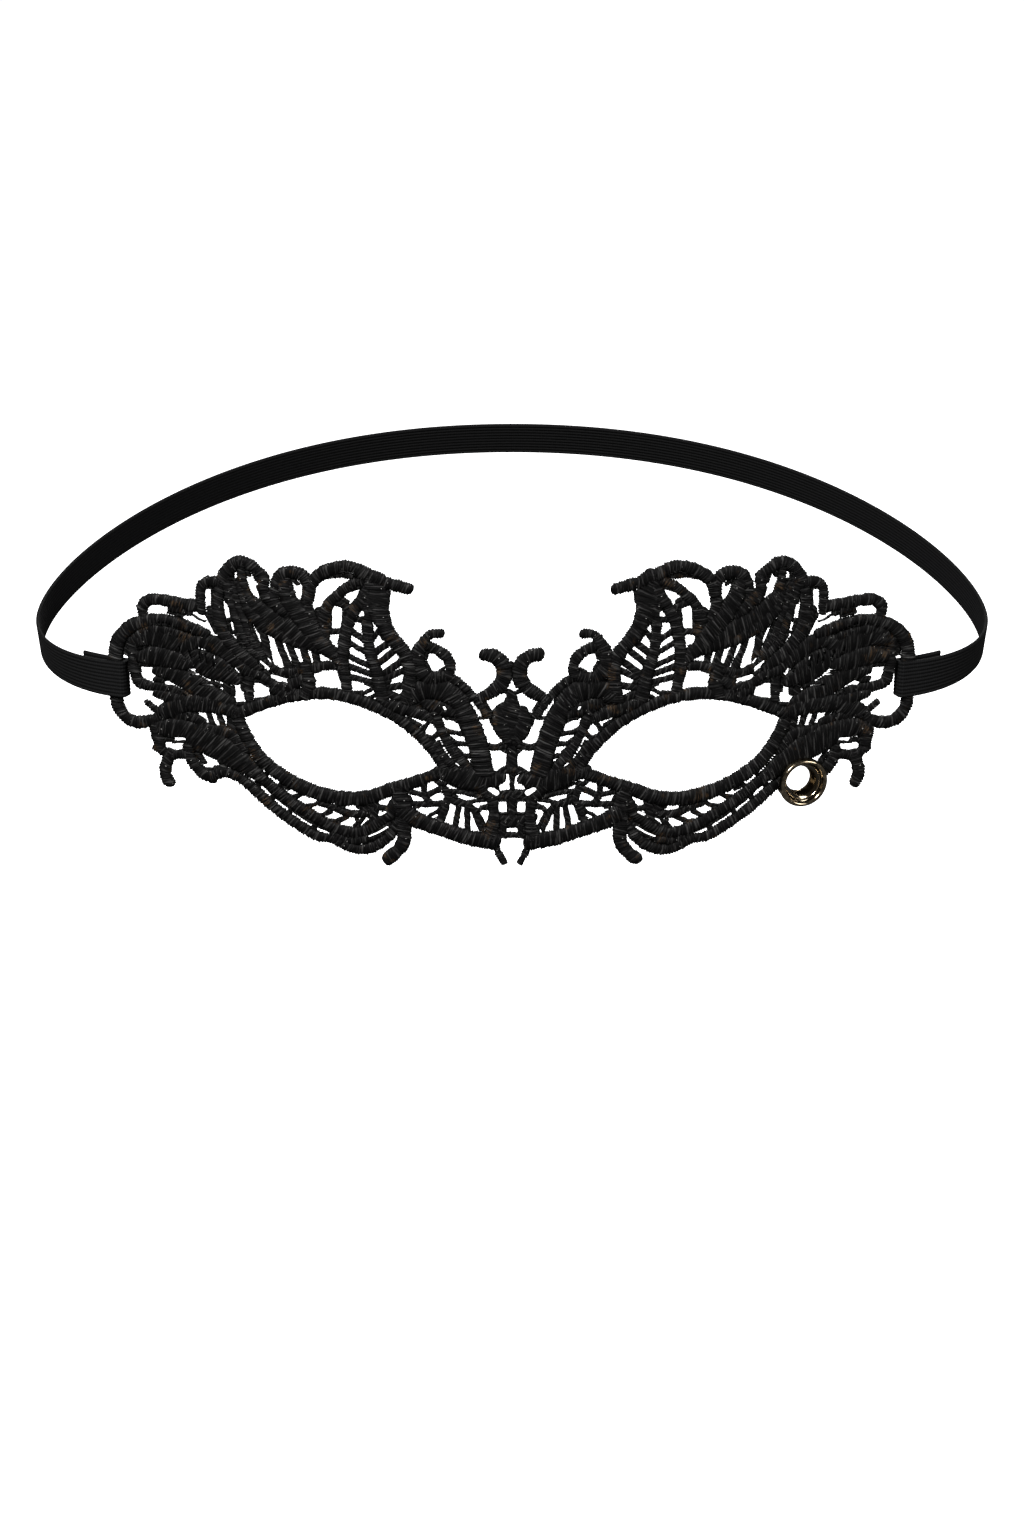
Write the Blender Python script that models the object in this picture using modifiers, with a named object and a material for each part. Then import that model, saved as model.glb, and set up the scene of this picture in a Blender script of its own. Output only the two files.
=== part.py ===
"""Black guipure lace eye mask on a ribbed elastic strap, with one metal eyelet.

The lace is one pierced body of padded cords, leaves and thin bars, bent back round a face.
The strap is one band that passes through a slot at each end of the lace and is turned back
on itself behind it. The eyelet is one turned ring that clasps the lace at the wearer's left.
The origin is the nose bridge on the back of the lace: +X to the right as seen from the
front, -Y towards the viewer, +Z up. All sizes are in metres.
"""

import math

import bmesh
import bpy
import numpy as np
from mathutils import Matrix, Vector
from mathutils.geometry import delaunay_2d_cdt

# The lace
MASK_WIDTH = 0.210  # end to end, seen from the front
MASK_HEIGHT = 0.080  # highest scallop to lowest tail
FACE_SAG = 0.022  # how far the ends lie behind the nose bridge
CORD_WIDTH = 0.0032  # the cord that edges the scallops
CORD_THICKNESS = 0.0019  # at the crest of a padded cord
EDGE_SHARE = 0.72  # thickness at a cord's edge, as a share of the crest
BAR_SHARE = 0.60  # thickness of a thin bar, as a share of the crest
LEAST_GAP = 0.40 * CORD_WIDTH ** 2  # an area: smaller gaps are left to the netting

# The strap
STRAP_WIDTH = 0.0098
STRAP_THICKNESS = 0.0009
STRAP_RISE = math.radians(21.5)  # how steeply the loop climbs towards the back
STRAP_BULGE = 0.0221  # how far the loop stands out beyond the lace on each side
STRAP_FRONT_REACH = 0.0207  # along the loop, from the lace to its widest place
STRAP_BACK_REACH = 0.0912  # along the loop, from its widest place to the back
HEM_LENGTH = 0.014  # the end that is turned back behind the lace
FOLD_RADIUS = 0.00075  # centre line of the fold round the lace's end cord
STRAP_SLOT = "strap_slot"  # the slit that the strap passes through

# How the strap's curve is drawn, as shares of the stretch beside it
LEAVING_SHARE = 0.55  # of the way from the slot to the lace's edge
START_PULL = 0.10
SIDE_PULL = 0.89
SIDE_PULL_BACK = 0.31
BACK_PULL = 0.67

# The eyelet
EYELET_OUTER = 0.0134  # across the rolled rim
EYELET_BORE = 0.0092
EYELET_WALL = 0.0005
EYELET_ROLL = 0.0021  # thickness of the rolled rim
EYELET_BACK_ROLL = 0.0013
EYELET_PLACE = (71.6, -8.75)  # on the same chart as the strands
EYELET_STEP = 0.28  # height of a roll's edge, as a share of the roll

FIT_GAP = 0.0003  # between pieces that lie against each other

# How finely the forms are cut
SPAN_STEPS = 4  # straight pieces between two chosen points of a strand
END_STEPS = 4  # straight pieces round half a strand's end
OUTLINE_TOLERANCE = 0.025 * CORD_WIDTH
CREST_SPACING = 1.9 * CORD_WIDTH
CREST_CLEARANCE = 0.28 * CORD_WIDTH
CORD_REACH = 1.15  # a cord's padding ends this far out, in shares of its half width
FRONT_STEPS = 12
REAR_STEPS = 40
TURN_STEPS = 36
ROLL_STEPS = 8  # round the front roll of the eyelet
BACK_ROLL_STEPS = 6
BORE_DEPTH = 8 * CORD_THICKNESS  # length of the tool that bores the lace

# Points closer than this are one point
SAME_PLACE = 1e-7
ON_CENTRE_LINE = 1e-6
SEAM_REACH = 0.00005  # between the two halves, where they are joined

HALF_WIDTH = MASK_WIDTH / 2

# The strands of the right half, seen from the front, one row each. The lace is the same on both
# sides. A cord is a round padded line, a leaf swells, a tail ends free and a bar is thin netting.
# Widths are shares of CORD_WIDTH at the start, the middle and the end. Route points are chosen
# by hand, in hundredths of HALF_WIDTH across and of MASK_HEIGHT up from the nose bridge.
# Columns: name, kind, widths, route
STRANDS = (
    ("lid_upper", "cord", (1.00, 0.96, 0.92), ((67.8, 14.4), (61.3, 18.5), (54.2, 22.0),
        (47.2, 23.7), (40.5, 23.3), (34.2, 20.9), (28.1, 17.1), (23.5, 12.5), (19.7, 7.3),
        (17.5, 3.1), (16.0, -0.6))),
    ("lid_lower", "cord", (0.92, 1.17, 0.83), ((67.5, 14.1), (65.7, 8.1), (63.4, 2.7),
        (60.5, -1.8), (56.0, -5.9), (51.1, -9.1), (46.1, -10.9), (40.4, -11.7), (34.9, -10.7),
        (29.4, -7.6), (24.4, -5.2), (20.0, -2.8), (16.0, -0.6))),
    ("corner_pad", "leaf", (1.00, 1.92, 1.00), ((18.0, -1.0), (13.8, -1.9), (9.7, -3.5),
        (6.3, -4.1), (2.8, -3.1))),
    ("nose_arc", "cord", (1.00, 0.79, 1.17), ((7.2, -6.2), (5.0, -10.0), (4.4, -14.5),
        (4.6, -18.6), (5.3, -23.5))),
    ("nose_foot", "cord", (1.50, 1.21, 1.42), ((26.1, -15.7), (22.6, -18.3), (16.2, -21.2),
        (10.8, -23.5), (4.8, -24.7))),
    ("nose_tail", "tail", (0.83, 0.50, 0.46), ((4.6, -23.5), (3.6, -28.0), (2.0, -32.2))),
    ("nose_stem", "cord", (1.00, 1.33, 1.17), ((27.9, -7.0), (27.0, -11.7), (26.6, -16.9),
        (26.6, -21.5))),
    ("nose_curl", "tail", (1.17, 1.00, 1.04), ((26.7, -20.1), (26.6, -25.0), (28.1, -28.7),
        (30.6, -31.8))),
    ("fan_rail_top", "bar", (0.42, 0.42, 0.42), ((25.2, -8.2), (21.5, -9.1), (18.6, -7.6),
        (16.3, -5.4))),
    ("fan_post", "bar", (0.33, 0.33, 0.33), ((21.7, -4.9), (21.5, -9.1), (20.1, -12.4))),
    ("fan_rail_low", "bar", (0.42, 0.50, 0.50), ((25.5, -12.4), (20.6, -12.5), (15.6, -11.8))),
    ("fan_foot", "bar", (0.33, 0.50, 0.50), ((15.9, -12.3), (17.6, -15.1), (20.6, -17.3))),
    ("fan_side", "cord", (0.58, 0.50, 0.50), ((16.1, -7.1), (15.6, -10.6), (17.1, -15.1),
        (17.9, -18.9))),
    ("fan_back_bar", "bar", (0.42, 0.42, 0.50), ((16.6, -7.8), (12.6, -7.9), (7.7, -9.3))),
    ("fan_back_arc", "bar", (0.50, 0.58, 0.50), ((15.9, -10.2), (12.9, -11.7), (10.5, -12.1))),
    ("fan_back_tip", "bar", (0.42, 0.33, 0.42), ((10.9, -11.8), (8.5, -10.9), (5.5, -10.3))),
    ("fan_toe", "bar", (0.42, 0.38, 0.67), ((10.7, -12.7), (8.5, -14.3), (7.3, -13.3),
        (5.3, -12.7))),
    ("ray_1", "bar", (0.50, 0.50, 0.50), ((12.9, -11.9), (14.0, -20.2))),
    ("ray_2", "bar", (0.50, 0.50, 0.50), ((11.0, -12.5), (10.9, -21.2))),
    ("ray_3", "bar", (0.42, 0.42, 0.42), ((10.0, -12.8), (7.5, -20.8))),
    ("under_mid", "cord", (0.83, 0.88, 1.00), ((68.0, -1.2), (63.5, -5.4), (59.8, -9.0),
        (55.6, -13.3), (51.6, -16.7), (47.4, -19.8), (42.6, -22.7), (38.1, -23.3), (33.8, -20.5),
        (30.3, -16.1), (28.2, -11.8))),
    ("under_outer", "cord", (0.83, 0.88, 0.75), ((73.3, -5.6), (68.2, -6.9), (64.2, -10.6),
        (60.5, -15.0), (56.5, -19.0), (52.5, -22.4), (48.1, -25.5), (43.7, -25.9))),
    ("belly_outer", "cord", (0.75, 0.88, 0.75), ((44.5, -25.8), (41.2, -28.0), (37.7, -29.1),
        (33.9, -27.7), (30.6, -24.3), (28.3, -19.8))),
    ("belly_inner", "cord", (0.58, 0.67, 0.50), ((44.2, -24.6), (40.2, -26.1), (36.7, -25.5),
        (33.1, -23.3), (30.1, -19.9))),
    ("under_vein", "bar", (0.50, 0.67, 0.38), ((47.0, -14.0), (43.5, -15.2), (40.0, -16.8),
        (36.0, -16.3), (33.0, -14.3), (29.5, -14.7))),
    ("under_bar_1", "bar", (0.33, 0.33, 0.33), ((59.9, -3.6), (61.5, -7.6))),
    ("under_bar_2", "bar", (0.33, 0.42, 0.33), ((56.4, -7.3), (58.3, -10.7))),
    ("under_bar_3", "bar", (0.33, 0.33, 0.33), ((51.5, -11.0), (54.8, -14.1))),
    ("under_bar_4", "bar", (0.33, 0.33, 0.33), ((46.5, -12.9), (51.4, -16.5))),
    ("under_bar_5", "bar", (0.33, 0.33, 0.33), ((43.0, -14.3), (47.4, -18.6))),
    ("under_bar_6", "bar", (0.33, 0.33, 0.33), ((39.8, -16.8), (43.6, -21.0))),
    ("under_bar_7", "bar", (0.33, 0.33, 0.33), ((35.8, -16.5), (38.6, -22.0))),
    ("under_bar_8", "bar", (0.42, 0.42, 0.42), ((42.4, -12.5), (43.5, -15.7))),
    ("under_bar_9", "bar", (1.17, 1.00, 0.83), ((35.4, -12.3), (35.5, -16.5))),
    ("under_bar_10", "bar", (0.75, 0.75, 0.75), ((33.5, -13.2), (34.1, -18.5))),
    ("slot_bar_1", "bar", (0.42, 0.50, 0.42), ((62.3, -7.7), (63.7, -11.4))),
    ("slot_bar_2", "bar", (0.50, 0.50, 0.50), ((58.3, -11.7), (60.5, -15.2))),
    ("slot_bar_3", "bar", (0.42, 0.42, 0.42), ((54.1, -15.4), (55.7, -19.5))),
    ("slot_bar_4", "bar", (0.33, 0.33, 0.33), ((48.1, -20.0), (49.3, -24.7))),
    ("end_scallop", "cord", (0.83, 1.08, 0.92), ((74.5, 40.9), (80.6, 43.3), (86.2, 43.9),
        (91.0, 42.4), (94.5, 39.7), (97.2, 35.3), (98.1, 30.8), (98.2, 25.3), (98.6, 17.6),
        (98.3, 12.6), (96.4, 9.1), (93.3, 7.9), (89.0, 9.4))),
    ("end_tie", "cord", (0.83, 0.92, 0.83), ((93.6, 36.3), (93.6, 30.5), (93.4, 25.4),
        (92.4, 21.8), (89.5, 20.8))),
    ("end_barb", "tail", (0.67, 0.58, 0.42), ((87.0, 11.6), (89.0, 13.5), (90.8, 15.3))),
    ("scallop_2", "cord", (0.75, 0.92, 1.00), ((90.1, 43.5), (90.5, 47.5), (88.8, 50.1),
        (85.7, 50.7), (81.6, 50.2), (76.5, 49.7))),
    ("scallop_2_fill", "cord", (0.50, 0.67, 0.42), ((83.2, 48.2), (80.6, 48.0), (78.1, 47.2))),
    ("scallop_3", "cord", (0.67, 0.75, 0.83), ((75.3, 48.2), (75.4, 52.1), (75.1, 56.1),
        (73.4, 58.3), (70.4, 58.3))),
    ("scallop_3_root", "leaf", (0.67, 0.83, 0.42), ((73.0, 49.1), (71.8, 45.9), (70.4, 41.4))),
    ("scallop_4", "cord", (0.75, 1.00, 0.75), ((71.4, 50.0), (70.5, 56.0), (69.0, 61.1),
        (66.4, 64.8), (63.9, 65.4), (61.7, 63.6), (60.6, 60.3))),
    ("scallop_4_fill", "cord", (0.58, 0.67, 0.67), ((68.3, 60.8), (68.2, 57.6), (67.0, 54.4))),
    ("scallop_4_post", "cord", (0.67, 0.67, 0.67), ((64.7, 65.1), (64.7, 60.2), (63.5, 55.1))),
    ("scallop_4_side", "cord", (0.75, 0.83, 0.83), ((61.5, 63.8), (59.5, 61.4), (59.6, 57.4),
        (58.1, 53.3))),
    ("scallop_5", "cord", (0.75, 1.00, 0.83), ((56.8, 53.4), (56.5, 58.4), (55.1, 62.1),
        (52.7, 63.2), (50.2, 62.4), (48.6, 59.3), (48.9, 54.7), (50.0, 50.7))),
    ("scallop_5_fill", "cord", (0.58, 0.75, 0.50), ((53.8, 61.2), (53.3, 57.6), (52.3, 53.8))),
    ("notch_root", "cord", (0.83, 1.00, 0.83), ((58.0, 55.9), (56.6, 52.4), (54.2, 49.4))),
    ("notch_root_2", "cord", (0.75, 0.83, 0.67), ((49.2, 54.7), (48.7, 51.5), (47.4, 47.9))),
    ("scallop_6", "cord", (0.83, 1.00, 1.00), ((48.4, 56.7), (47.6, 60.2), (45.3, 63.4),
        (41.7, 65.5), (38.0, 65.7), (34.7, 63.9), (31.4, 62.3))),
    ("wing_tip", "tail", (1.17, 0.92, 0.83), ((32.3, 61.6), (28.5, 60.7), (26.1, 59.9),
        (24.6, 59.4))),
    ("wing_inner", "cord", (0.50, 0.50, 0.50), ((46.3, 61.7), (42.4, 63.1), (38.6, 63.2),
        (35.7, 62.4))),
    ("wing_rib", "cord", (1.00, 0.75, 0.75), ((45.2, 48.4), (44.1, 52.8), (41.6, 56.5),
        (38.4, 60.0), (35.0, 61.8))),
    ("sail_luff_top", "leaf", (1.33, 1.83, 1.17), ((33.3, 62.9), (32.2, 57.4), (32.0, 52.5),
        (30.6, 47.4))),
    ("sail_luff", "cord", (1.25, 1.08, 1.00), ((31.7, 53.8), (30.6, 48.0), (28.7, 43.5),
        (26.4, 39.7), (24.7, 35.8), (24.5, 29.8), (25.3, 23.4))),
    ("sail_leech", "cord", (1.00, 0.92, 0.83), ((33.6, 60.3), (35.6, 55.6), (37.6, 51.9),
        (39.2, 47.5), (40.2, 41.5), (40.7, 34.9), (40.1, 28.2), (39.8, 23.2))),
    ("sail_midrib", "cord", (0.75, 0.83, 1.08), ((34.6, 58.3), (34.5, 51.1), (34.5, 44.5),
        (34.0, 37.9), (32.5, 31.4), (31.4, 23.8))),
    ("sail_web_1", "bar", (0.83, 0.75, 0.75), ((37.0, 53.6), (34.4, 51.4))),
    ("sail_web_1b", "bar", (0.50, 0.50, 0.50), ((38.8, 49.2), (34.5, 48.5))),
    ("sail_web_2", "bar", (0.50, 0.50, 0.50), ((39.4, 45.9), (34.3, 41.2))),
    ("sail_web_3", "bar", (0.54, 0.42, 0.38), ((40.2, 41.9), (34.2, 37.3))),
    ("sail_web_4", "bar", (0.50, 0.46, 0.42), ((40.5, 37.2), (32.8, 32.7))),
    ("sail_web_5", "bar", (0.50, 0.50, 0.50), ((40.3, 33.7), (32.1, 30.1))),
    ("sail_web_6", "bar", (0.50, 0.50, 0.50), ((40.2, 30.1), (31.9, 27.8))),
    ("sail_web_7", "bar", (0.33, 0.33, 0.33), ((38.3, 22.7), (32.9, 26.7))),
    ("sail_web_8", "bar", (0.29, 0.29, 0.29), ((36.4, 21.6), (31.9, 24.7))),
    ("sail_web_9", "bar", (0.33, 0.42, 0.42), ((30.9, 25.5), (31.0, 20.4))),
    ("sail_web_r0", "bar", (0.42, 0.42, 0.42), ((33.6, 42.3), (31.6, 46.0))),
    ("sail_web_r1", "bar", (0.58, 0.58, 0.58), ((33.2, 37.8), (29.7, 41.5))),
    ("sail_web_r2", "bar", (0.54, 0.54, 0.54), ((32.3, 34.4), (27.9, 39.4))),
    ("sail_web_r3", "bar", (0.58, 0.58, 0.58), ((31.6, 30.4), (26.2, 35.9))),
    ("sail_web_r4", "bar", (0.54, 0.54, 0.54), ((31.4, 29.1), (25.5, 32.9))),
    ("sail_web_r5", "bar", (0.58, 0.58, 0.58), ((31.2, 26.5), (25.1, 27.8))),
    ("sail_web_r6", "bar", (0.67, 0.67, 0.67), ((30.9, 25.3), (27.1, 23.2))),
    ("wing_web_1", "bar", (0.58, 0.58, 0.58), ((42.4, 54.5), (38.5, 52.5))),
    ("wing_post", "cord", (0.75, 0.75, 0.75), ((45.9, 51.0), (44.9, 45.2), (45.3, 40.5),
        (44.4, 37.3))),
    ("wing_web_2", "bar", (0.50, 0.50, 0.50), ((45.0, 44.2), (40.1, 44.8))),
    ("post_foot", "cord", (0.75, 0.75, 0.75), ((43.2, 38.7), (42.0, 35.4), (40.6, 32.2))),
    ("ring_left", "cord", (0.92, 1.17, 0.83), ((20.8, 42.2), (22.4, 38.8), (22.4, 34.2),
        (19.9, 30.6), (15.8, 31.1))),
    ("ring_right", "cord", (0.75, 0.83, 0.75), ((20.3, 41.4), (17.4, 39.5), (15.3, 36.9),
        (14.7, 33.8), (15.1, 31.5))),
    ("ring_curl", "tail", (0.67, 0.67, 0.67), ((21.3, 40.5), (20.7, 43.3), (19.1, 44.9),
        (17.0, 45.1))),
    ("brow_edge", "cord", (0.75, 0.67, 0.67), ((15.8, 31.4), (12.9, 29.2), (10.4, 26.1),
        (8.1, 22.6), (5.9, 18.3))),
    ("brow_head", "cord", (1.17, 1.83, 1.33), ((25.1, 23.1), (21.2, 26.6), (17.3, 26.7),
        (13.7, 23.8), (11.0, 18.9))),
    ("brow_root", "leaf", (0.67, 1.08, 0.50), ((31.0, 21.8), (27.1, 20.3), (23.2, 18.8),
        (19.6, 16.3))),
    ("brow_back", "cord", (1.17, 1.62, 1.50), ((14.9, 25.5), (12.2, 21.2), (10.1, 15.5),
        (8.8, 10.5), (7.9, 6.1), (6.7, -0.7))),
    ("brow_front", "cord", (0.67, 0.67, 0.75), ((24.6, 21.1), (21.7, 19.0), (19.1, 16.8),
        (17.0, 12.8), (15.2, 7.6), (13.1, 2.9), (11.1, -0.8))),
    ("brow_fill", "cord", (0.67, 0.75, 0.75), ((21.2, 21.9), (18.6, 19.0), (17.2, 13.6),
        (15.1, 8.3), (12.8, 3.9), (10.4, 0.2))),
    ("brow_fill_2", "leaf", (0.67, 1.17, 0.67), ((21.2, 22.6), (17.3, 20.7), (13.5, 18.8))),
    ("brow_web_1", "bar", (0.33, 0.33, 0.33), ((22.5, 12.4), (19.8, 15.9))),
    ("brow_web_2", "bar", (0.33, 0.33, 0.33), ((20.4, 8.4), (17.7, 11.9))),
    ("brow_web_3", "bar", (0.42, 0.42, 0.42), ((17.4, 18.0), (13.0, 17.1))),
    ("brow_web_4", "bar", (0.33, 0.33, 0.33), ((15.9, 12.2), (10.1, 12.0))),
    ("brow_web_5", "bar", (0.42, 0.42, 0.42), ((14.5, 8.5), (8.7, 8.4))),
    ("brow_web_6", "bar", (0.42, 0.42, 0.42), ((12.8, 4.6), (7.7, 4.2))),
    ("brow_under", "cord", (0.75, 0.75, 0.75), ((18.9, 8.2), (16.0, 3.5), (13.1, -0.2))),
    ("centre_curl", "tail", (1.00, 1.17, 0.75), ((6.4, 38.4), (4.4, 37.9), (2.5, 35.8),
        (1.8, 32.6), (2.5, 29.0), (5.0, 26.0), (8.1, 23.6))),
    ("centre_bar_1", "bar", (0.33, 0.33, 0.33), ((2.8, 26.7), (0.0, 25.3))),
    ("centre_bar_2", "bar", (0.42, 0.42, 0.42), ((6.4, 18.3), (3.0, 18.3))),
    ("centre_bar_3", "bar", (0.33, 0.42, 0.42), ((6.7, 7.4), (3.3, 7.3), (0.0, 8.8))),
    ("centre_bar_4", "bar", (0.42, 0.42, 0.50), ((5.3, -1.7), (2.8, -1.2), (0.0, 0.0))),
    ("centre_bar_6", "bar", (0.33, 0.50, 0.67), ((3.6, -4.5), (3.3, -7.9), (0.0, -8.1))),
    ("centre_bar_7", "bar", (0.50, 0.50, 0.58), ((4.8, -10.7), (2.3, -9.6), (0.0, -8.9))),
    ("centre_bar_8", "bar", (1.17, 1.17, 1.17), ((4.3, -17.6), (0.0, -17.9))),
    ("centre_bar_9", "bar", (0.50, 0.50, 0.50), ((3.8, -22.8), (0.0, -22.6))),
    ("centre_stem_top", "bar", (0.92, 0.92, 0.92), ((0.0, 25.0), (0.0, 21.0))),
    ("centre_stem", "bar", (0.92, 0.92, 1.00), ((0.0, 10.2), (0.0, 0.0))),
    ("centre_stem_low", "bar", (0.75, 0.42, 0.42), ((0.0, 0.0), (0.0, -4.1), (0.0, -9.6))),
    ("centre_post", "bar", (0.67, 0.67, 0.67), ((0.0, -9.6), (0.0, -17.2))),
    ("medal_side", "leaf", (0.67, 1.33, 0.67), ((2.8, 20.3), (2.8, 15.6), (0.9, 9.5))),
    ("plume_5", "leaf", (0.83, 1.67, 0.75), ((54.7, 60.1), (53.6, 55.0), (51.0, 50.0),
        (48.0, 44.6), (44.9, 39.5), (42.3, 35.8))),
    ("plume_4", "leaf", (0.75, 1.92, 0.83), ((65.0, 55.9), (62.1, 51.9), (58.0, 47.7),
        (53.1, 43.8), (48.3, 40.6), (43.0, 37.4))),
    ("plume_4b", "leaf", (0.58, 1.17, 0.58), ((65.4, 57.2), (63.4, 50.5), (60.3, 46.2),
        (55.7, 42.3), (50.8, 39.1))),
    ("plume_3", "leaf", (0.67, 1.08, 1.17), ((70.5, 55.3), (71.0, 50.0), (70.4, 43.4),
        (68.0, 38.0), (64.6, 34.0), (61.9, 31.6))),
    ("plume_3b", "leaf", (0.50, 0.58, 0.67), ((66.9, 57.4), (65.9, 51.2), (64.5, 46.1),
        (63.4, 40.9), (60.8, 35.8))),
    ("plume_3c", "leaf", (0.67, 0.62, 0.67), ((68.6, 57.8), (67.8, 52.3), (66.3, 45.9),
        (64.2, 39.1), (60.9, 34.1))),
    ("plume_2", "leaf", (0.75, 1.58, 1.00), ((79.0, 37.7), (74.9, 38.2), (70.4, 36.1),
        (66.4, 32.2), (63.3, 28.1))),
    ("plume_2b", "leaf", (1.00, 2.33, 1.00), ((79.6, 34.2), (75.6, 31.4), (71.1, 28.6),
        (67.4, 26.0))),
    ("plume_1", "leaf", (0.83, 2.00, 0.83), ((92.0, 35.8), (88.5, 38.0), (84.1, 37.6),
        (80.1, 36.2), (76.4, 38.0))),
    ("plume_1b", "cord", (0.67, 0.83, 0.67), ((93.6, 35.6), (89.2, 40.3), (84.0, 40.7),
        (78.9, 39.0))),
    ("lower_wing_1", "leaf", (1.00, 1.75, 1.17), ((91.7, 30.8), (87.5, 31.7), (83.4, 31.0),
        (79.3, 29.9))),
    ("lower_wing_2", "leaf", (0.83, 1.83, 1.33), ((87.7, 26.6), (84.6, 26.4), (80.5, 24.9),
        (77.0, 22.4), (73.5, 20.1), (69.9, 18.2))),
    ("lower_wing_2b", "leaf", (0.67, 0.75, 0.67), ((88.2, 21.2), (84.8, 20.9), (80.7, 19.5))),
    ("lower_wing_3", "leaf", (0.67, 1.50, 1.00), ((88.0, 18.7), (84.9, 18.1), (80.8, 17.0),
        (76.7, 16.9), (71.5, 17.0), (67.5, 15.1))),
    ("lower_wing_4", "leaf", (0.67, 1.50, 0.83), ((88.4, 10.3), (85.6, 13.2), (82.4, 15.1),
        (78.2, 17.4))),
    ("hip_leaf", "leaf", (1.17, 2.42, 1.00), ((88.0, 6.9), (82.7, 7.4), (77.1, 5.2), (71.0, 1.6),
        (66.0, -2.6), (62.0, -6.6))),
    ("hip_top", "leaf", (0.67, 1.00, 1.00), ((78.5, 9.8), (73.9, 8.1), (69.3, 7.3), (65.8, 2.6))),
    ("hip_edge", "cord", (0.83, 1.17, 0.83), ((88.8, 9.6), (88.2, 4.8), (87.9, 0.0))),
    ("hip_foot", "cord", (0.67, 0.75, 0.75), ((88.8, -0.2), (85.2, -2.0), (81.0, -1.0))),
    ("hip_tail", "tail", (0.92, 0.92, 1.00), ((85.2, -1.7), (86.3, -5.3), (86.8, -8.6),
        (86.0, -11.6))),
    ("hip_lobe", "cord", (0.83, 1.00, 0.83), ((80.3, 1.6), (79.7, -2.5), (77.7, -6.0),
        (75.2, -7.8), (72.3, -6.3))),
    ("hip_nub", "tail", (0.75, 0.75, 0.67), ((75.1, -6.4), (74.6, -9.2))),
    ("hip_lobe_back", "cord", (0.67, 0.67, 0.67), ((77.7, 1.3), (74.1, 1.1), (72.0, -1.7),
        (71.5, -5.5))),
    ("feather_rail", "cord", (0.67, 0.83, 0.83), ((79.8, 16.5), (74.1, 15.9), (68.0, 15.0))),
    ("feather_fill", "leaf", (0.50, 0.83, 0.67), ((83.6, 11.5), (79.9, 12.0), (76.4, 10.8))),
    ("feather_web_1", "bar", (0.33, 0.42, 0.46), ((75.3, 16.5), (74.7, 13.8), (73.7, 9.5))),
    ("feather_web_2", "bar", (0.50, 0.50, 0.50), ((72.8, 16.4), (72.2, 13.8), (71.1, 9.1))),
    ("feather_web_3", "bar", (1.33, 1.17, 1.00), ((68.5, 15.3), (68.3, 8.5), (66.3, 3.6))),
    ("feather_web_4", "bar", (0.50, 0.50, 0.50), ((79.1, 15.9), (77.5, 11.0))),
    ("mid_root", "cord", (1.00, 0.67, 0.75), ((64.5, 29.7), (61.0, 28.4), (57.6, 25.7),
        (52.7, 23.5))),
    ("mid_post", "cord", (0.83, 1.00, 0.83), ((50.0, 32.5), (49.1, 27.5), (50.2, 22.7))),
    ("mid_rail", "cord", (0.67, 0.67, 0.75), ((62.3, 36.3), (57.7, 30.7), (54.0, 30.1),
        (50.0, 31.5), (45.3, 33.0), (41.1, 33.2))),
    ("mid_web_0", "bar", (0.50, 0.67, 0.67), ((62.0, 46.3), (60.1, 41.9), (59.5, 37.3),
        (58.9, 33.0))),
    ("mid_web_2", "bar", (0.50, 0.54, 0.67), ((56.6, 40.9), (55.9, 37.9), (55.0, 34.7),
        (54.2, 31.1))),
    ("mid_web_3", "bar", (0.50, 0.54, 0.58), ((54.0, 40.4), (53.3, 37.5), (52.3, 33.9),
        (51.5, 31.3))),
    ("mid_web_4", "bar", (0.62, 0.62, 0.62), ((50.5, 39.4), (50.0, 36.8), (49.3, 33.5),
        (49.0, 31.6))),
    ("mid_web_5", "bar", (0.58, 0.58, 0.58), ((47.8, 39.0), (47.3, 35.7), (47.0, 32.4))),
    ("mid_low", "leaf", (0.75, 1.00, 0.83), ((58.1, 24.0), (54.6, 25.3), (50.6, 28.1))),
    ("tie_1", "cord", (0.75, 0.75, 0.67), ((64.1, 27.4), (64.3, 19.9))),
    ("tie_2", "bar", (0.67, 0.67, 0.67), ((69.7, 24.0), (70.0, 15.8))),
    ("tie_3", "cord", (0.75, 0.75, 0.75), ((57.9, 24.0), (54.2, 22.3))),
    ("medallion", "leaf", (1.17, 3.08, 1.67), ((0.0, 22.3), (0.0, 16.6), (0.0, 11.9))),
    ("plume_tick_1", "bar", (0.33, 0.33, 0.33), ((69.5, 45.7), (67.3, 46.3))),
    ("plume_tick_2", "bar", (0.25, 0.25, 0.25), ((68.7, 41.6), (66.4, 42.5))),
    ("scallop_4_tick", "bar", (0.67, 0.67, 0.67), ((67.6, 58.0), (64.9, 57.9))),
    ("slot_side", "bar", (0.50, 0.50, 0.50), ((2.1, -18.6), (2.1, -22.8))),
)

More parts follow.
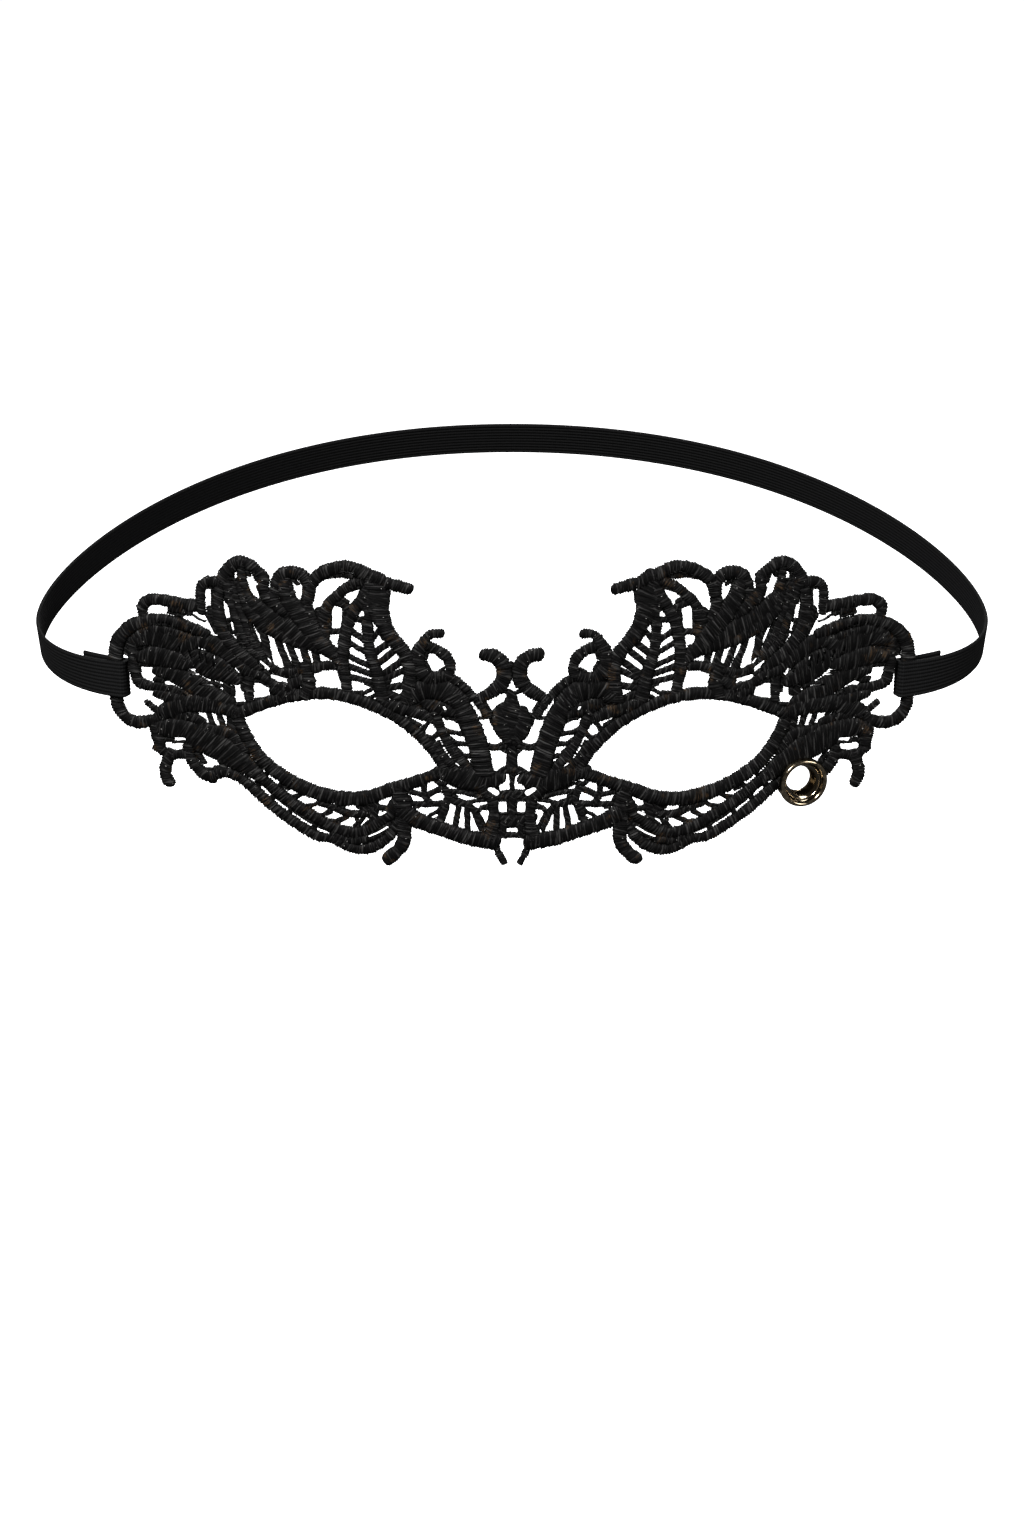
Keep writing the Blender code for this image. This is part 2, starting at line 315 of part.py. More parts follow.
# Short threads that round the corners of the gaps, as thin as a bar, with one width each.
# Columns: place, width, route
FILLS = (
    ("slot", 0.67, ((95.2, 35.3), (95.3, 31.2))),
    ("pad", 0.42, ((92.7, 33.3), (88.7, 34.5))),
    ("pad", 0.42, ((92.1, 28.0), (87.6, 28.3))),
    ("pad", 0.50, ((88.1, 23.6), (85.7, 23.5))),
    ("hip", 0.42, ((86.3, 3.1), (84.5, 3.2))),
    ("hip", 0.20, ((84.5, 2.3), (81.3, 2.8))),
    ("hip", 0.50, ((78.1, -0.5), (76.7, -3.4))),
    ("scallop_2", 0.42, ((73.9, 47.3), (72.9, 44.5), (71.7, 41.4))),
    ("scallop_2", 0.11, ((77.6, 46.7), (76.1, 45.4), (74.4, 44.8))),
    ("scallop_2", 0.29, ((83.8, 46.8), (80.2, 46.0))),
    ("pad", 0.30, ((80.9, 41.1), (77.1, 40.4))),
    ("tie", 0.38, ((66.1, 27.8), (65.7, 22.8))),
    ("tie", 0.33, ((68.2, 23.5), (68.3, 21.1))),
    ("tie", 0.33, ((67.7, 17.8), (65.1, 18.3))),
    ("mid", 0.42, ((62.6, 26.5), (61.1, 26.4), (58.9, 25.2))),
    ("mid", 0.25, ((58.7, 25.3), (58.6, 22.2))),
    ("mid", 0.28, ((62.8, 19.9), (60.7, 20.4))),
    ("feather", 0.38, ((73.8, 24.4), (71.3, 23.5))),
    ("scallop_3", 0.29, ((72.2, 56.5), (72.5, 50.8))),
    ("scallop_3", 0.25, ((74.0, 56.3), (72.0, 56.3))),
    ("scallop_4", 0.28, ((69.3, 54.5), (69.0, 51.7))),
    ("scallop_4", 0.25, ((68.2, 51.0), (67.8, 47.0))),
    ("scallop_4", 0.22, ((68.7, 45.3), (68.2, 42.7))),
    ("scallop_4", 0.25, ((67.2, 45.4), (66.8, 43.2))),
    ("scallop_4", 0.42, ((66.6, 41.5), (65.7, 39.6), (64.8, 37.7))),
    ("plume", 0.30, ((63.4, 46.8), (62.9, 43.9), (62.1, 40.7), (61.2, 38.4))),
    ("mid", 0.67, ((54.5, 33.4), (53.9, 31.8))),
    ("mid", 0.33, ((60.3, 30.0), (58.6, 28.6))),
    ("mid", 0.33, ((57.5, 29.3), (54.5, 28.7), (51.5, 29.3))),
    ("mid", 0.25, ((47.9, 30.6), (46.0, 31.5))),
    ("mid", 0.25, ((41.8, 31.6), (41.4, 29.1))),
    ("sail", 0.25, ((43.4, 52.2), (43.7, 45.2))),
    ("sail", 0.50, ((39.7, 52.4), (40.1, 49.1))),
    ("sail", 0.22, ((40.4, 48.4), (40.8, 45.6))),
    ("sail", 0.33, ((38.7, 58.3), (35.7, 59.7))),
    ("sail", 0.25, ((35.8, 58.8), (36.9, 55.5))),
    ("sail", 0.33, ((40.6, 55.5), (39.3, 54.4))),
    ("sail", 0.25, ((38.8, 24.5), (36.3, 24.9))),
    ("sail", 0.25, ((35.3, 27.7), (33.6, 27.0))),
    ("sail", 0.33, ((29.3, 58.5), (29.6, 54.9))),
    ("sail", 0.42, ((31.4, 44.7), (30.6, 42.8))),
    ("sail", 0.50, ((30.9, 28.5), (29.7, 28.6))),
    ("scallop_5", 0.33, ((52.5, 60.8), (51.2, 59.4))),
    ("scallop_4", 0.33, ((63.4, 63.0), (63.1, 61.3))),
    ("scallop_4", 0.42, ((60.7, 57.6), (59.8, 53.8))),
    ("scallop_4", 0.21, ((67.1, 61.9), (67.1, 59.6))),
    ("scallop_4", 0.25, ((67.0, 59.4), (65.6, 59.8))),
    ("ring", 0.42, ((22.9, 30.2), (22.5, 29.5))),
    ("ring", 0.33, ((20.7, 36.9), (20.1, 38.9), (18.6, 39.2))),
    ("ring", 0.25, ((20.6, 35.6), (19.6, 33.0))),
    ("ring", 0.25, ((17.5, 32.6), (16.3, 33.6))),
    ("brow", 0.33, ((22.9, 22.0), (22.0, 21.2))),
    ("brow", 0.30, ((25.2, 16.7), (24.0, 15.7), (22.3, 14.4))),
    ("brow", 0.25, ((20.6, 11.0), (19.3, 10.7), (18.1, 12.1))),
    ("brow", 0.22, ((21.2, 12.8), (20.5, 14.6))),
    ("brow", 0.28, ((17.8, 9.1), (16.7, 7.4))),
    ("brow", 0.13, ((16.1, 5.9), (15.4, 5.1))),
    ("brow", 0.30, ((15.9, 17.1), (14.2, 16.8), (12.7, 15.5), (12.0, 13.1))),
    ("brow", 0.30, ((16.1, 13.3), (14.7, 12.6), (13.5, 12.3))),
    ("brow", 0.25, ((14.8, 10.2), (13.8, 9.2))),
    ("brow", 0.17, ((13.0, 11.5), (11.5, 11.1), (10.9, 9.7))),
    ("brow", 0.22, ((13.2, 6.7), (12.1, 5.4))),
    ("brow", 0.17, ((9.9, 2.8), (9.5, 1.3))),
    ("centre", 0.22, ((11.1, 24.7), (10.2, 22.9))),
    ("centre", 0.25, ((8.0, 17.4), (6.7, 17.2))),
    ("centre", 0.25, ((5.3, 17.4), (4.7, 14.9))),
    ("centre", 0.22, ((5.7, 8.5), (4.3, 7.9), (2.6, 8.6), (1.8, 9.3))),
    ("centre", 0.25, ((2.3, 6.7), (1.4, 5.8))),
    ("centre", 0.30, ((3.1, -0.6), (1.6, 0.6))),
    ("centre", 0.30, ((6.5, 22.4), (5.2, 19.6))),
    ("centre", 0.33, ((0.0, 35.6), (0.0, 31.5))),
    ("under", 0.22, ((62.0, -9.1), (60.8, -10.0), (59.6, -11.7))),
    ("under", 0.27, ((58.1, -13.4), (56.6, -14.8), (55.1, -16.3))),
    ("under", 0.30, ((53.9, -17.4), (51.9, -19.1), (49.1, -21.2))),
    ("under", 0.25, ((49.5, -22.8), (48.9, -21.5))),
    ("under", 0.30, ((48.1, -22.0), (46.4, -22.8), (44.8, -23.7))),
    ("under", 0.25, ((56.6, -9.1), (55.0, -10.0))),
    ("under", 0.22, ((54.8, -12.4), (53.1, -11.8))),
    ("under", 0.17, ((51.6, -15.0), (49.8, -14.7))),
    ("under", 0.22, ((45.8, -17.7), (44.4, -16.7))),
    ("under", 0.25, ((44.9, -19.7), (43.6, -19.8), (42.3, -18.8))),
    ("under", 0.22, ((42.1, -19.6), (40.4, -18.4))),
    ("under", 0.33, ((38.3, -18.6), (38.1, -19.8), (39.0, -21.3))),
    ("under", 0.25, ((36.6, -20.7), (35.2, -19.1))),
    ("under", 0.17, ((42.2, -14.4), (41.2, -14.8))),
    ("under", 0.45, ((37.7, -14.2), (37.0, -14.7))),
    ("belly", 0.42, ((29.6, -18.5), (28.6, -17.0))),
    ("belly", 0.15, ((36.7, -27.0), (33.9, -25.4), (31.4, -23.2))),
    ("fan", 0.20, ((21.0, -5.6), (21.1, -8.0))),
    ("fan", 0.42, ((18.3, -4.4), (17.3, -5.2), (16.1, -4.9))),
    ("fan", 0.30, ((15.1, -5.1), (13.1, -6.3), (10.7, -7.3), (8.2, -8.0))),
    ("fan", 0.25, ((25.2, -9.9), (24.7, -11.3))),
    ("fan", 0.17, ((21.8, -10.1), (21.3, -11.1))),
    ("fan", 0.30, ((20.4, -9.7), (19.1, -8.5), (17.6, -7.6))),
    ("fan", 0.25, ((20.5, -10.6), (19.8, -11.5))),
    ("fan", 0.33, ((14.6, -9.0), (13.7, -9.8))),
    ("fan", 0.22, ((13.6, -10.4), (11.7, -11.1))),
    ("fan", 0.22, ((24.0, -13.5), (22.8, -13.7))),
    ("fan", 0.22, ((17.4, -13.2), (18.4, -14.8), (20.1, -16.0))),
    ("ray", 0.25, ((15.6, -13.1), (16.3, -15.8), (16.7, -17.5))),
    ("ray", 0.33, ((8.2, -15.6), (7.3, -18.0), (6.5, -20.4))),
    ("centre", 0.17, ((1.1, -11.0), (1.0, -14.8))),
    ("centre", 0.17, ((3.1, -15.1), (1.1, -15.1))),
    ("centre", 0.17, ((3.1, -10.7), (1.1, -10.6))),
    ("centre", 0.25, ((3.1, -20.2), (3.1, -21.7))),
)


# Slits left open between threads, with one width each.
# Columns: name, width, route
SLITS = (
    ("strap_slot", 0.50, ((95.6, 29.5), (96.3, 15.6))),
    ("slit_a", 0.18, ((81.1, 35.7), (80.9, 34.4))),
    ("slit_b", 0.25, ((78.5, 34.4), (78.0, 32.7))),
    ("slit_c", 0.25, ((76.0, 34.4), (75.6, 31.4))),
    ("slit_d", 0.13, ((74.6, 34.2), (74.3, 31.2))),
    ("slit_e", 0.28, ((72.7, 33.4), (72.3, 30.1))),
    ("slit_g", 0.18, ((68.7, 29.9), (68.4, 28.9))),
    ("slit_h", 0.25, ((67.3, 30.0), (66.9, 29.2))),
    ("slit_i", 0.15, ((79.6, 28.1), (77.5, 28.4))),
    ("slit_j", 0.17, ((78.6, 26.6), (77.1, 26.6))),
    ("slit_k", 0.17, ((76.2, 23.7), (73.3, 23.4))),
    ("plume_gap", 0.37, ((61.0, 32.9), (59.2, 31.1))),
    ("crescent", 0.33, ((58.3, 28.3), (56.3, 27.9), (54.6, 26.7))),
    ("corner_gap", 0.53, ((5.2, -6.9), (3.9, -8.1))),
    ("centre_gap", 0.62, ((2.3, -12.2), (2.3, -13.8))),
    ("hip_gap", 0.33, ((83.5, 3.8), (81.1, 4.2))),
    ("tip_gap", 0.29, ((16.4, 20.9), (16.1, 20.1))),
    ("root_gap", 0.13, ((30.0, 22.7), (29.6, 22.4))),
    ("mid_tooth", 0.25, ((59.1, 34.0), (58.6, 33.0))),
    ("lower_gap", 0.33, ((85.4, 22.5), (84.5, 22.7))),
    ("brow_slit", 0.21, ((13.6, 1.9), (12.8, 1.0))),
    ("belly_slit", 0.22, ((35.3, -24.4), (32.9, -22.8), (30.6, -20.7))),
    ("wing_slit", 0.15, ((40.7, 64.7), (37.3, 63.9))),
    ("cheek_gap", 0.29, ((32.5, -16.8), (31.0, -15.6))),
    ("leaf_dot", 0.28, ((35.6, 51.3), (35.6, 50.4))),
    ("fan_gap", 0.23, ((19.4, -16.9), (18.4, -16.1))),
)


def smooth_route(points, steps):
    """A Catmull-Rom curve through the chosen points."""
    chosen = np.array(points, float)
    ends = (2 * chosen[0] - chosen[1], 2 * chosen[-1] - chosen[-2])
    framed = np.vstack((ends[0], chosen, ends[1]))
    route = []
    for i in range(1, len(framed) - 2):
        before, start, end, after = framed[i - 1 : i + 3]
        for t in np.arange(steps) / steps:
            route.append(
                0.5 * (2 * start + (end - before) * t
                       + (2 * before - 5 * start + 4 * end - after) * t * t
                       + (3 * start - before - 3 * end + after) * t ** 3)
            )
    route.append(chosen[-1])
    return np.array(route)


def run_shares(route):
    """Each point's distance along the route, as a share of its length."""
    steps = np.linalg.norm(np.diff(route, axis=0), axis=1)
    run = np.concatenate(((0.0,), np.cumsum(steps)))
    return run / run[-1]


def swelling(shares, start, middle, end):
    """A width that swells from the start to the middle and thins to the end."""
    rising = start + (middle - start) * np.sin(np.pi * np.clip(shares, 0, 0.5))
    falling = end + (middle - end) * np.sin(np.pi * np.clip(1 - shares, 0, 0.5))
    return np.where(shares < 0.5, rising, falling)


def headings(route):
    steps = np.gradient(route, axis=0)
    return steps / np.linalg.norm(steps, axis=1)[:, None]


def chart_place(point):
    """A chart point, in hundredths, as metres across and up."""
    return point[0] / 100 * HALF_WIDTH, point[1] / 100 * MASK_HEIGHT


def ribbon(widths, points):
    """A strand's centre line, half widths and outline with round ends."""
    route = smooth_route([chart_place(p) for p in points], SPAN_STEPS)
    half = swelling(run_shares(route), *widths) * CORD_WIDTH / 2
    ahead = headings(route)
    aside = np.stack((-ahead[:, 1], ahead[:, 0]), axis=1)
    outline = list(route + aside * half[:, None])
    outline += round_end(route[-1], ahead[-1], half[-1])
    outline += list((route - aside * half[:, None])[::-1])
    outline += round_end(route[0], -ahead[0], half[0])
    return route, half, np.array(outline)


def round_end(centre, ahead, radius):
    """The points between the two corners of a strand's end, round its tip."""
    points = []
    for i in range(1, END_STEPS * 2):
        turn = math.pi / 2 - math.pi * i / (END_STEPS * 2)
        aside = np.array((-ahead[1], ahead[0]))
        points.append(centre + radius * (math.cos(turn) * ahead + math.sin(turn) * aside))
    return points


def winds_round(points, outline):
    """True for each point that the outline goes round, even where it crosses itself."""
    winding = np.zeros(len(points), int)
    x, z = points[:, 0], points[:, 1]
    for (x0, z0), (x1, z1) in zip(outline, np.roll(outline, -1, axis=0)):
        left = (x1 - x0) * (z - z0) - (x - x0) * (z1 - z0)
        winding += ((z0 <= z) & (z1 > z) & (left > 0)).astype(int)
        winding -= ((z0 > z) & (z1 <= z) & (left < 0)).astype(int)
    return winding != 0


def triangles_of(points, edges):
    """Every triangle between the points, with the edges kept."""
    flat, _, faces, _, _, _ = delaunay_2d_cdt(
        [Vector(p) for p in points], edges, [], 0, SAME_PLACE)
    return np.array([tuple(p) for p in flat]), np.array(faces)


def edge_table(faces):
    """The faces on each edge."""
    table = {}
    for index, face in enumerate(faces):
        for a, b in zip(face, np.roll(face, -1)):
            table.setdefault((min(a, b), max(a, b)), []).append(index)
    return table


def groups(chosen, table):
    """The chosen faces, sorted into groups that share edges."""
    neighbours = {i: [] for i in np.flatnonzero(chosen)}
    for pair in table.values():
        if len(pair) == 2 and chosen[pair[0]] and chosen[pair[1]]:
            neighbours[pair[0]].append(pair[1])
            neighbours[pair[1]].append(pair[0])
    unseen = set(neighbours)
    while unseen:
        group = [unseen.pop()]
        for face in group:
            for other in neighbours[face]:
                if other in unseen:
                    unseen.remove(other)
                    group.append(other)
        yield group


def area_of(points, faces):
    a, b, c = (points[faces[:, i]] for i in range(3))
    cross = (b - a)[:, 0] * (c - a)[:, 1] - (b - a)[:, 1] * (c - a)[:, 0]
    return np.abs(cross) / 2


def boundary_loops(filled, table, faces):
    """Closed loops of points round the filled faces."""
    onward = {}
    for (a, b), pair in table.items():
        inside = [f for f in pair if filled[f]]
        if len(inside) != 1:
            continue
        face = list(faces[inside[0]])
        first, second = (a, b) if face[(face.index(a) + 1) % 3] == b else (b, a)
        onward.setdefault(first, []).append(second)
    loops = []
    while onward:
        start = next(iter(onward))
        loop = [start]
        while True:
            choices = onward[loop[-1]]
            following = choices.pop()
            if not choices:
                del onward[loop[-1]]
            if following == start:
                break
            loop.append(following)
        loops.append(loop)
    return loops


def thinned(line, tolerance):
    """The line without the points that stray less than the tolerance."""
    if len(line) < 3:
        return line
    start, end = line[0], line[-1]
    along = end - start
    length = np.linalg.norm(along)
    offset = line - start
    if length < SAME_PLACE:
        stray = np.linalg.norm(offset, axis=1)
    else:
        stray = np.abs(offset[:, 0] * along[1] - offset[:, 1] * along[0]) / length
    worst = int(np.argmax(stray))
    if stray[worst] <= tolerance:
        return np.array((start, end))
    head = thinned(line[: worst + 1], tolerance)
    return np.vstack((head[:-1], thinned(line[worst:], tolerance)))


def thinned_loop(loop):
    """A closed loop, thinned between its corners on the centre line or its far points."""
    on_middle = np.flatnonzero(np.abs(loop[:, 0]) < ON_CENTRE_LINE)
    if len(on_middle):
        stops = list(on_middle)
    else:
        first = int(np.argmax(loop[:, 0]))
        far = int(np.argmax(np.linalg.norm(loop - loop[first], axis=1)))
        stops = sorted((first, far))
    result = []
    for start, end in zip(stops, stops[1:] + [stops[0] + len(loop)]):
        line = np.array([loop[i % len(loop)] for i in range(start, end + 1)])
        result += list(thinned(line, OUTLINE_TOLERANCE)[:-1])
    return np.array(result)


def pierced_outline(outlines, slits):
    """Loops round the half of the lace right of the centre line."""
    points, edges = [], []
    for outline in outlines + slits:
        first = len(points)
        points += list(outline)
        edges += [(first + i, first + (i + 1) % len(outline)) for i in range(len(outline))]
    reach = MASK_HEIGHT * 2
    edges.append((len(points), len(points) + 1))
    points += [(0.0, -reach), (0.0, reach)]
    points, faces = triangles_of(points, edges)
    centres = points[faces].mean(axis=1)
    solid = np.zeros(len(faces), bool)
    for outline in outlines:
        solid |= winds_round(centres, outline)
    for outline in slits:
        solid &= ~winds_round(centres, outline)
    right = centres[:, 0] > 0
    table = edge_table(faces)
    areas = area_of(points, faces)
    for gap in groups(~solid & right, table):
        if areas[gap].sum() < LEAST_GAP:
            solid[gap] = True
    largest = max(groups(solid & right, table), key=lambda g: areas[g].sum())
    filled = np.zeros(len(faces), bool)
    filled[largest] = True
    loops = boundary_loops(filled, table, faces)
    return [thinned_loop(points[loop]) for loop in loops]


def crest_points(padded, loops):
    """Points along the padded strands' centre lines, where they are highest."""
    rim = np.vstack([np.vstack((l, (l + np.roll(l, -1, axis=0)) / 2)) for l in loops])
    crest = np.zeros((0, 2))
    for route, _, _ in padded:
        for point in route:
            if point[0] < CREST_CLEARANCE:
                continue
            if np.min(np.linalg.norm(rim - point, axis=1)) < CREST_CLEARANCE:
                continue
            if len(crest) and np.min(np.linalg.norm(crest - point, axis=1)) < CREST_SPACING:
                continue
            crest = np.vstack((crest, point))
    return crest


def thickness_share(point, padded):
    """How thick the lace is at a point, as a share of a cord's crest."""
    share = BAR_SHARE
    for route, half, _ in padded:
        away = np.linalg.norm(route - point, axis=1)
        nearest = int(np.argmin(away))
        out = away[nearest] / half[nearest]
        if out < CORD_REACH:
            share = max(share, EDGE_SHARE + (1 - EDGE_SHARE) * max(0.0, 1 - out * out))
    return share


def face_depth(across):
    """How far behind the nose bridge the lace's back lies."""
    return FACE_SAG * (across / HALF_WIDTH) ** 2


def face_turn(across):
    """The slope of the lace, seen from above."""
    return math.atan(2 * FACE_SAG * across / HALF_WIDTH ** 2)


def new_object(name, mesh, material, collection):
    mesh.materials.append(material)
    obj = bpy.data.objects.new(name, mesh)
    collection.objects.link(obj)
    return obj


def plain_material(name, colour, roughness, metallic=0.0):
    material = bpy.data.materials.new(name)
    material.use_nodes = True
    shader = material.node_tree.nodes["Principled BSDF"]
    shader.inputs["Base Color"].default_value = (*colour, 1.0)
    shader.inputs["Roughness"].default_value = roughness
    shader.inputs["Metallic"].default_value = metallic
    return material


def build_lace(collection, cutter):
    """The pierced sheet, mirrored, thickened and bored for the eyelet."""
    ribbons = [ribbon(widths, points) for _, _, widths, points in STRANDS]
    padded = [strip for row, strip in zip(STRANDS, ribbons) if row[1] != "bar"]
    outlines = [strip[2] for strip in ribbons]
    outlines += [ribbon((width,) * 3, points)[2] for _, width, points in FILLS]
    slits = [ribbon((width,) * 3, points)[2] for _, width, points in SLITS]
    loops = pierced_outline(outlines, slits)
    points, edges = [], []
    for loop in loops:
        first = len(points)
        points += list(loop)
        edges += [(first + i, first + (i + 1) % len(loop)) for i in range(len(loop))]
    points += list(crest_points(padded, loops))
    flat, faces = triangles_of(points, edges)
    centres = flat[faces].mean(axis=1)
    kept = np.zeros(len(faces), bool)
    for loop in loops:
        kept ^= winds_round(centres, loop)
    kept_faces = [tuple(int(i) for i in face[::-1]) for face in faces[kept]]

    mesh = bpy.data.meshes.new("lace")
    bent = [(x, face_depth(x), z) for x, z in flat]
    mesh.from_pydata(bent, [], kept_faces)
    face_front(mesh)
    material = plain_material("black_thread", (0.012, 0.011, 0.011), 0.62)
    lace = new_object("lace", mesh, material, collection)
    padding = lace.vertex_groups.new(name="padding")
    for index, point in enumerate(flat):
        padding.add([index], thickness_share(point, padded), "REPLACE")

    mirror = lace.modifiers.new("both_sides", "MIRROR")
    mirror.use_axis = (True, False, False)
    mirror.merge_threshold = SEAM_REACH
    solidify = lace.modifiers.new("padding", "SOLIDIFY")
    solidify.thickness = CORD_THICKNESS
    solidify.offset = 1.0
    solidify.vertex_group = padding.name
    solidify.thickness_vertex_group = 0.0
    bore = lace.modifiers.new("eyelet_bore", "BOOLEAN")
    bore.operation = "DIFFERENCE"
    bore.solver = "EXACT"
    bore.object = cutter
    return lace


def face_front(mesh):
    """Turns every face towards the viewer."""
    shape = bmesh.new()
    shape.from_mesh(mesh)
    for face in shape.faces:
        if face.normal.y > 0:
            face.normal_flip()
    shape.to_mesh(mesh)
    shape.free()


def eyelet_matrix():
    """Places the eyelet's turning axis square to the lace, with its back on the face."""
    across, up = chart_place(EYELET_PLACE)
    place = Vector((across, face_depth(across), up))
    turn = Matrix.Rotation(face_turn(across), 4, "Z") @ Matrix.Rotation(math.pi / 2, 4, "X")
    return Matrix.Translation(place) @ turn


def eyelet_cutter(collection):
    """The bore through the lace that the eyelet's barrel passes through."""
    mesh = bpy.data.meshes.new("eyelet_cutter")
    shape = bmesh.new()
    radius = EYELET_BORE / 2 + EYELET_WALL + FIT_GAP
    bmesh.ops.create_cone(shape, cap_ends=True, segments=TURN_STEPS, radius1=radius,
                          radius2=radius, depth=BORE_DEPTH)
    shape.to_mesh(mesh)
    shape.free()
    cutter = bpy.data.objects.new("eyelet_cutter", mesh)
    collection.objects.link(cutter)
    cutter.matrix_world = eyelet_matrix()
    cutter.hide_render = True
    cutter.display_type = "WIRE"
    return cutter


def rolled_edge(start, end, height, roll, steps):
    """The section of a roll between two radii, standing off from a height."""
    middle, reach = (start + end) / 2, (start - end) / 2
    points = []
    for i in range(steps + 1):
        turn = math.pi * i / steps
        rise = EYELET_STEP + (1 - EYELET_STEP) * math.sin(turn)
        points.append((middle + reach * math.cos(turn), height + roll * rise))
    return points


def build_eyelet(collection):
    """A barrel with a rolled rim in front and a smaller roll behind, turned in one piece.

    The axis runs forward, out of the lace's back, so the height is measured from there.
    """
    inner = EYELET_BORE / 2
    outer = EYELET_OUTER / 2
    front = CORD_THICKNESS + FIT_GAP
    back = -FIT_GAP
    barrel = inner + EYELET_WALL
    back_outer = outer - EYELET_WALL
    profile = rolled_edge(outer, inner, front, EYELET_ROLL, ROLL_STEPS)
    profile += rolled_edge(inner, back_outer, back, -EYELET_BACK_ROLL, BACK_ROLL_STEPS)
    profile.append((back_outer, back))
    profile.append((barrel, back))
    profile.append((barrel, front))
    profile.append((outer - EYELET_WALL, front))

    mesh = bpy.data.meshes.new("eyelet")
    count = len(profile)
    mesh.from_pydata([(radius, 0, height) for radius, height in profile],
                     [(i, (i + 1) % count) for i in range(count)], [])
    material = plain_material("dark_brass", (0.32, 0.25, 0.15), 0.3, 1.0)
    eyelet = new_object("eyelet", mesh, material, collection)
    eyelet.matrix_world = eyelet_matrix()
    screw = eyelet.modifiers.new("turned", "SCREW")
    screw.steps = TURN_STEPS
    screw.render_steps = TURN_STEPS
    screw.merge_threshold = SAME_PLACE
    screw.use_normal_calculate = True
    return eyelet


def bezier(start, leave, arrive, end, steps):
    t = np.linspace(0, 1, steps + 1)[:, None]
    return (start * (1 - t) ** 3 + 3 * leave * t * (1 - t) ** 2
            + 3 * arrive * t * t * (1 - t) + end * t ** 3)


def slot_place():
    """The middle of the strap's slot, across and up, read from the slits."""
    points = [chart_place(p) for name, _, route in SLITS if name == STRAP_SLOT for p in route]
    return np.mean(points, axis=0)


class SlotFrame:
    """Directions at the strap's slot: outwards along the lace, and forward out of it."""

    def __init__(self):
        across, self.up = slot_place()
        turn = face_turn(across)
        self.origin = np.array((across, face_depth(across), self.up))
        self.out = np.array((math.cos(turn), math.sin(turn), 0.0))
        self.forward = np.array((math.sin(turn), -math.cos(turn), 0.0))
        self.edge = (HALF_WIDTH - across) / math.cos(turn)
        self.behind = -(FIT_GAP + STRAP_THICKNESS / 2)
        self.before = CORD_THICKNESS + FIT_GAP + STRAP_THICKNESS / 2

    def place(self, along, ahead):
        return self.origin + self.out * along + self.forward * ahead


def fold_route(slot):
    """The strap's passage through the slot, from behind the lace to its front."""
    turns = np.radians((0, 30, 60, 90))
    radius = FOLD_RADIUS
    rear = [slot.place(radius * (1 - math.sin(a)), slot.behind + radius * (1 - math.cos(a)))
            for a in turns]
    front = [slot.place(radius * (1 - math.cos(a)), slot.before - radius * (1 - math.sin(a)))
             for a in turns]
    return np.array(rear + front)


def loop_route(slot):
    """The strap from the front of the lace's end cord to the middle of the back."""
    rise = np.array((0.0, math.cos(STRAP_RISE), math.sin(STRAP_RISE)))
    start = slot.place(slot.edge * LEAVING_SHARE, slot.before)
    side = np.array((HALF_WIDTH + STRAP_BULGE, FACE_SAG, slot.up)) + rise * STRAP_FRONT_REACH
    back = np.array((0.0, side[1], side[2])) + rise * STRAP_BACK_REACH
    sideways = np.array((side[0], 0.0, 0.0))
    front = bezier(start, start + slot.out * STRAP_FRONT_REACH * START_PULL,
                   side - rise * STRAP_FRONT_REACH * SIDE_PULL, side, FRONT_STEPS)
    rear = bezier(side, side + rise * STRAP_BACK_REACH * SIDE_PULL_BACK,
                  back + sideways * BACK_PULL, back, REAR_STEPS)
    lean = np.linspace(0, 1, FRONT_STEPS + 1)
    lean = np.concatenate((lean * lean * (3 - 2 * lean), np.ones(REAR_STEPS)))
    return np.vstack((front, rear[1:])), lean * STRAP_RISE


def hem_route(slot, outer):
    """The turned-back end, which lies inside the strap's first stretch."""
    ahead = headings(outer)
    run = np.concatenate(((0.0,), np.cumsum(np.linalg.norm(np.diff(outer, axis=0), axis=1))))
    hem, used = [], []
    for index in range(1, len(outer)):
        if run[index] > HEM_LENGTH:
            break
        inward = np.array((-ahead[index][1], ahead[index][0], 0.0))
        inward /= np.linalg.norm(inward)
        height = float(np.dot(outer[index] - slot.origin, slot.forward))
        away = max(STRAP_THICKNESS + FIT_GAP, height - slot.behind)
        hem.append(outer[index] + inward * away)
        used.append(index)
    return np.array(hem), used


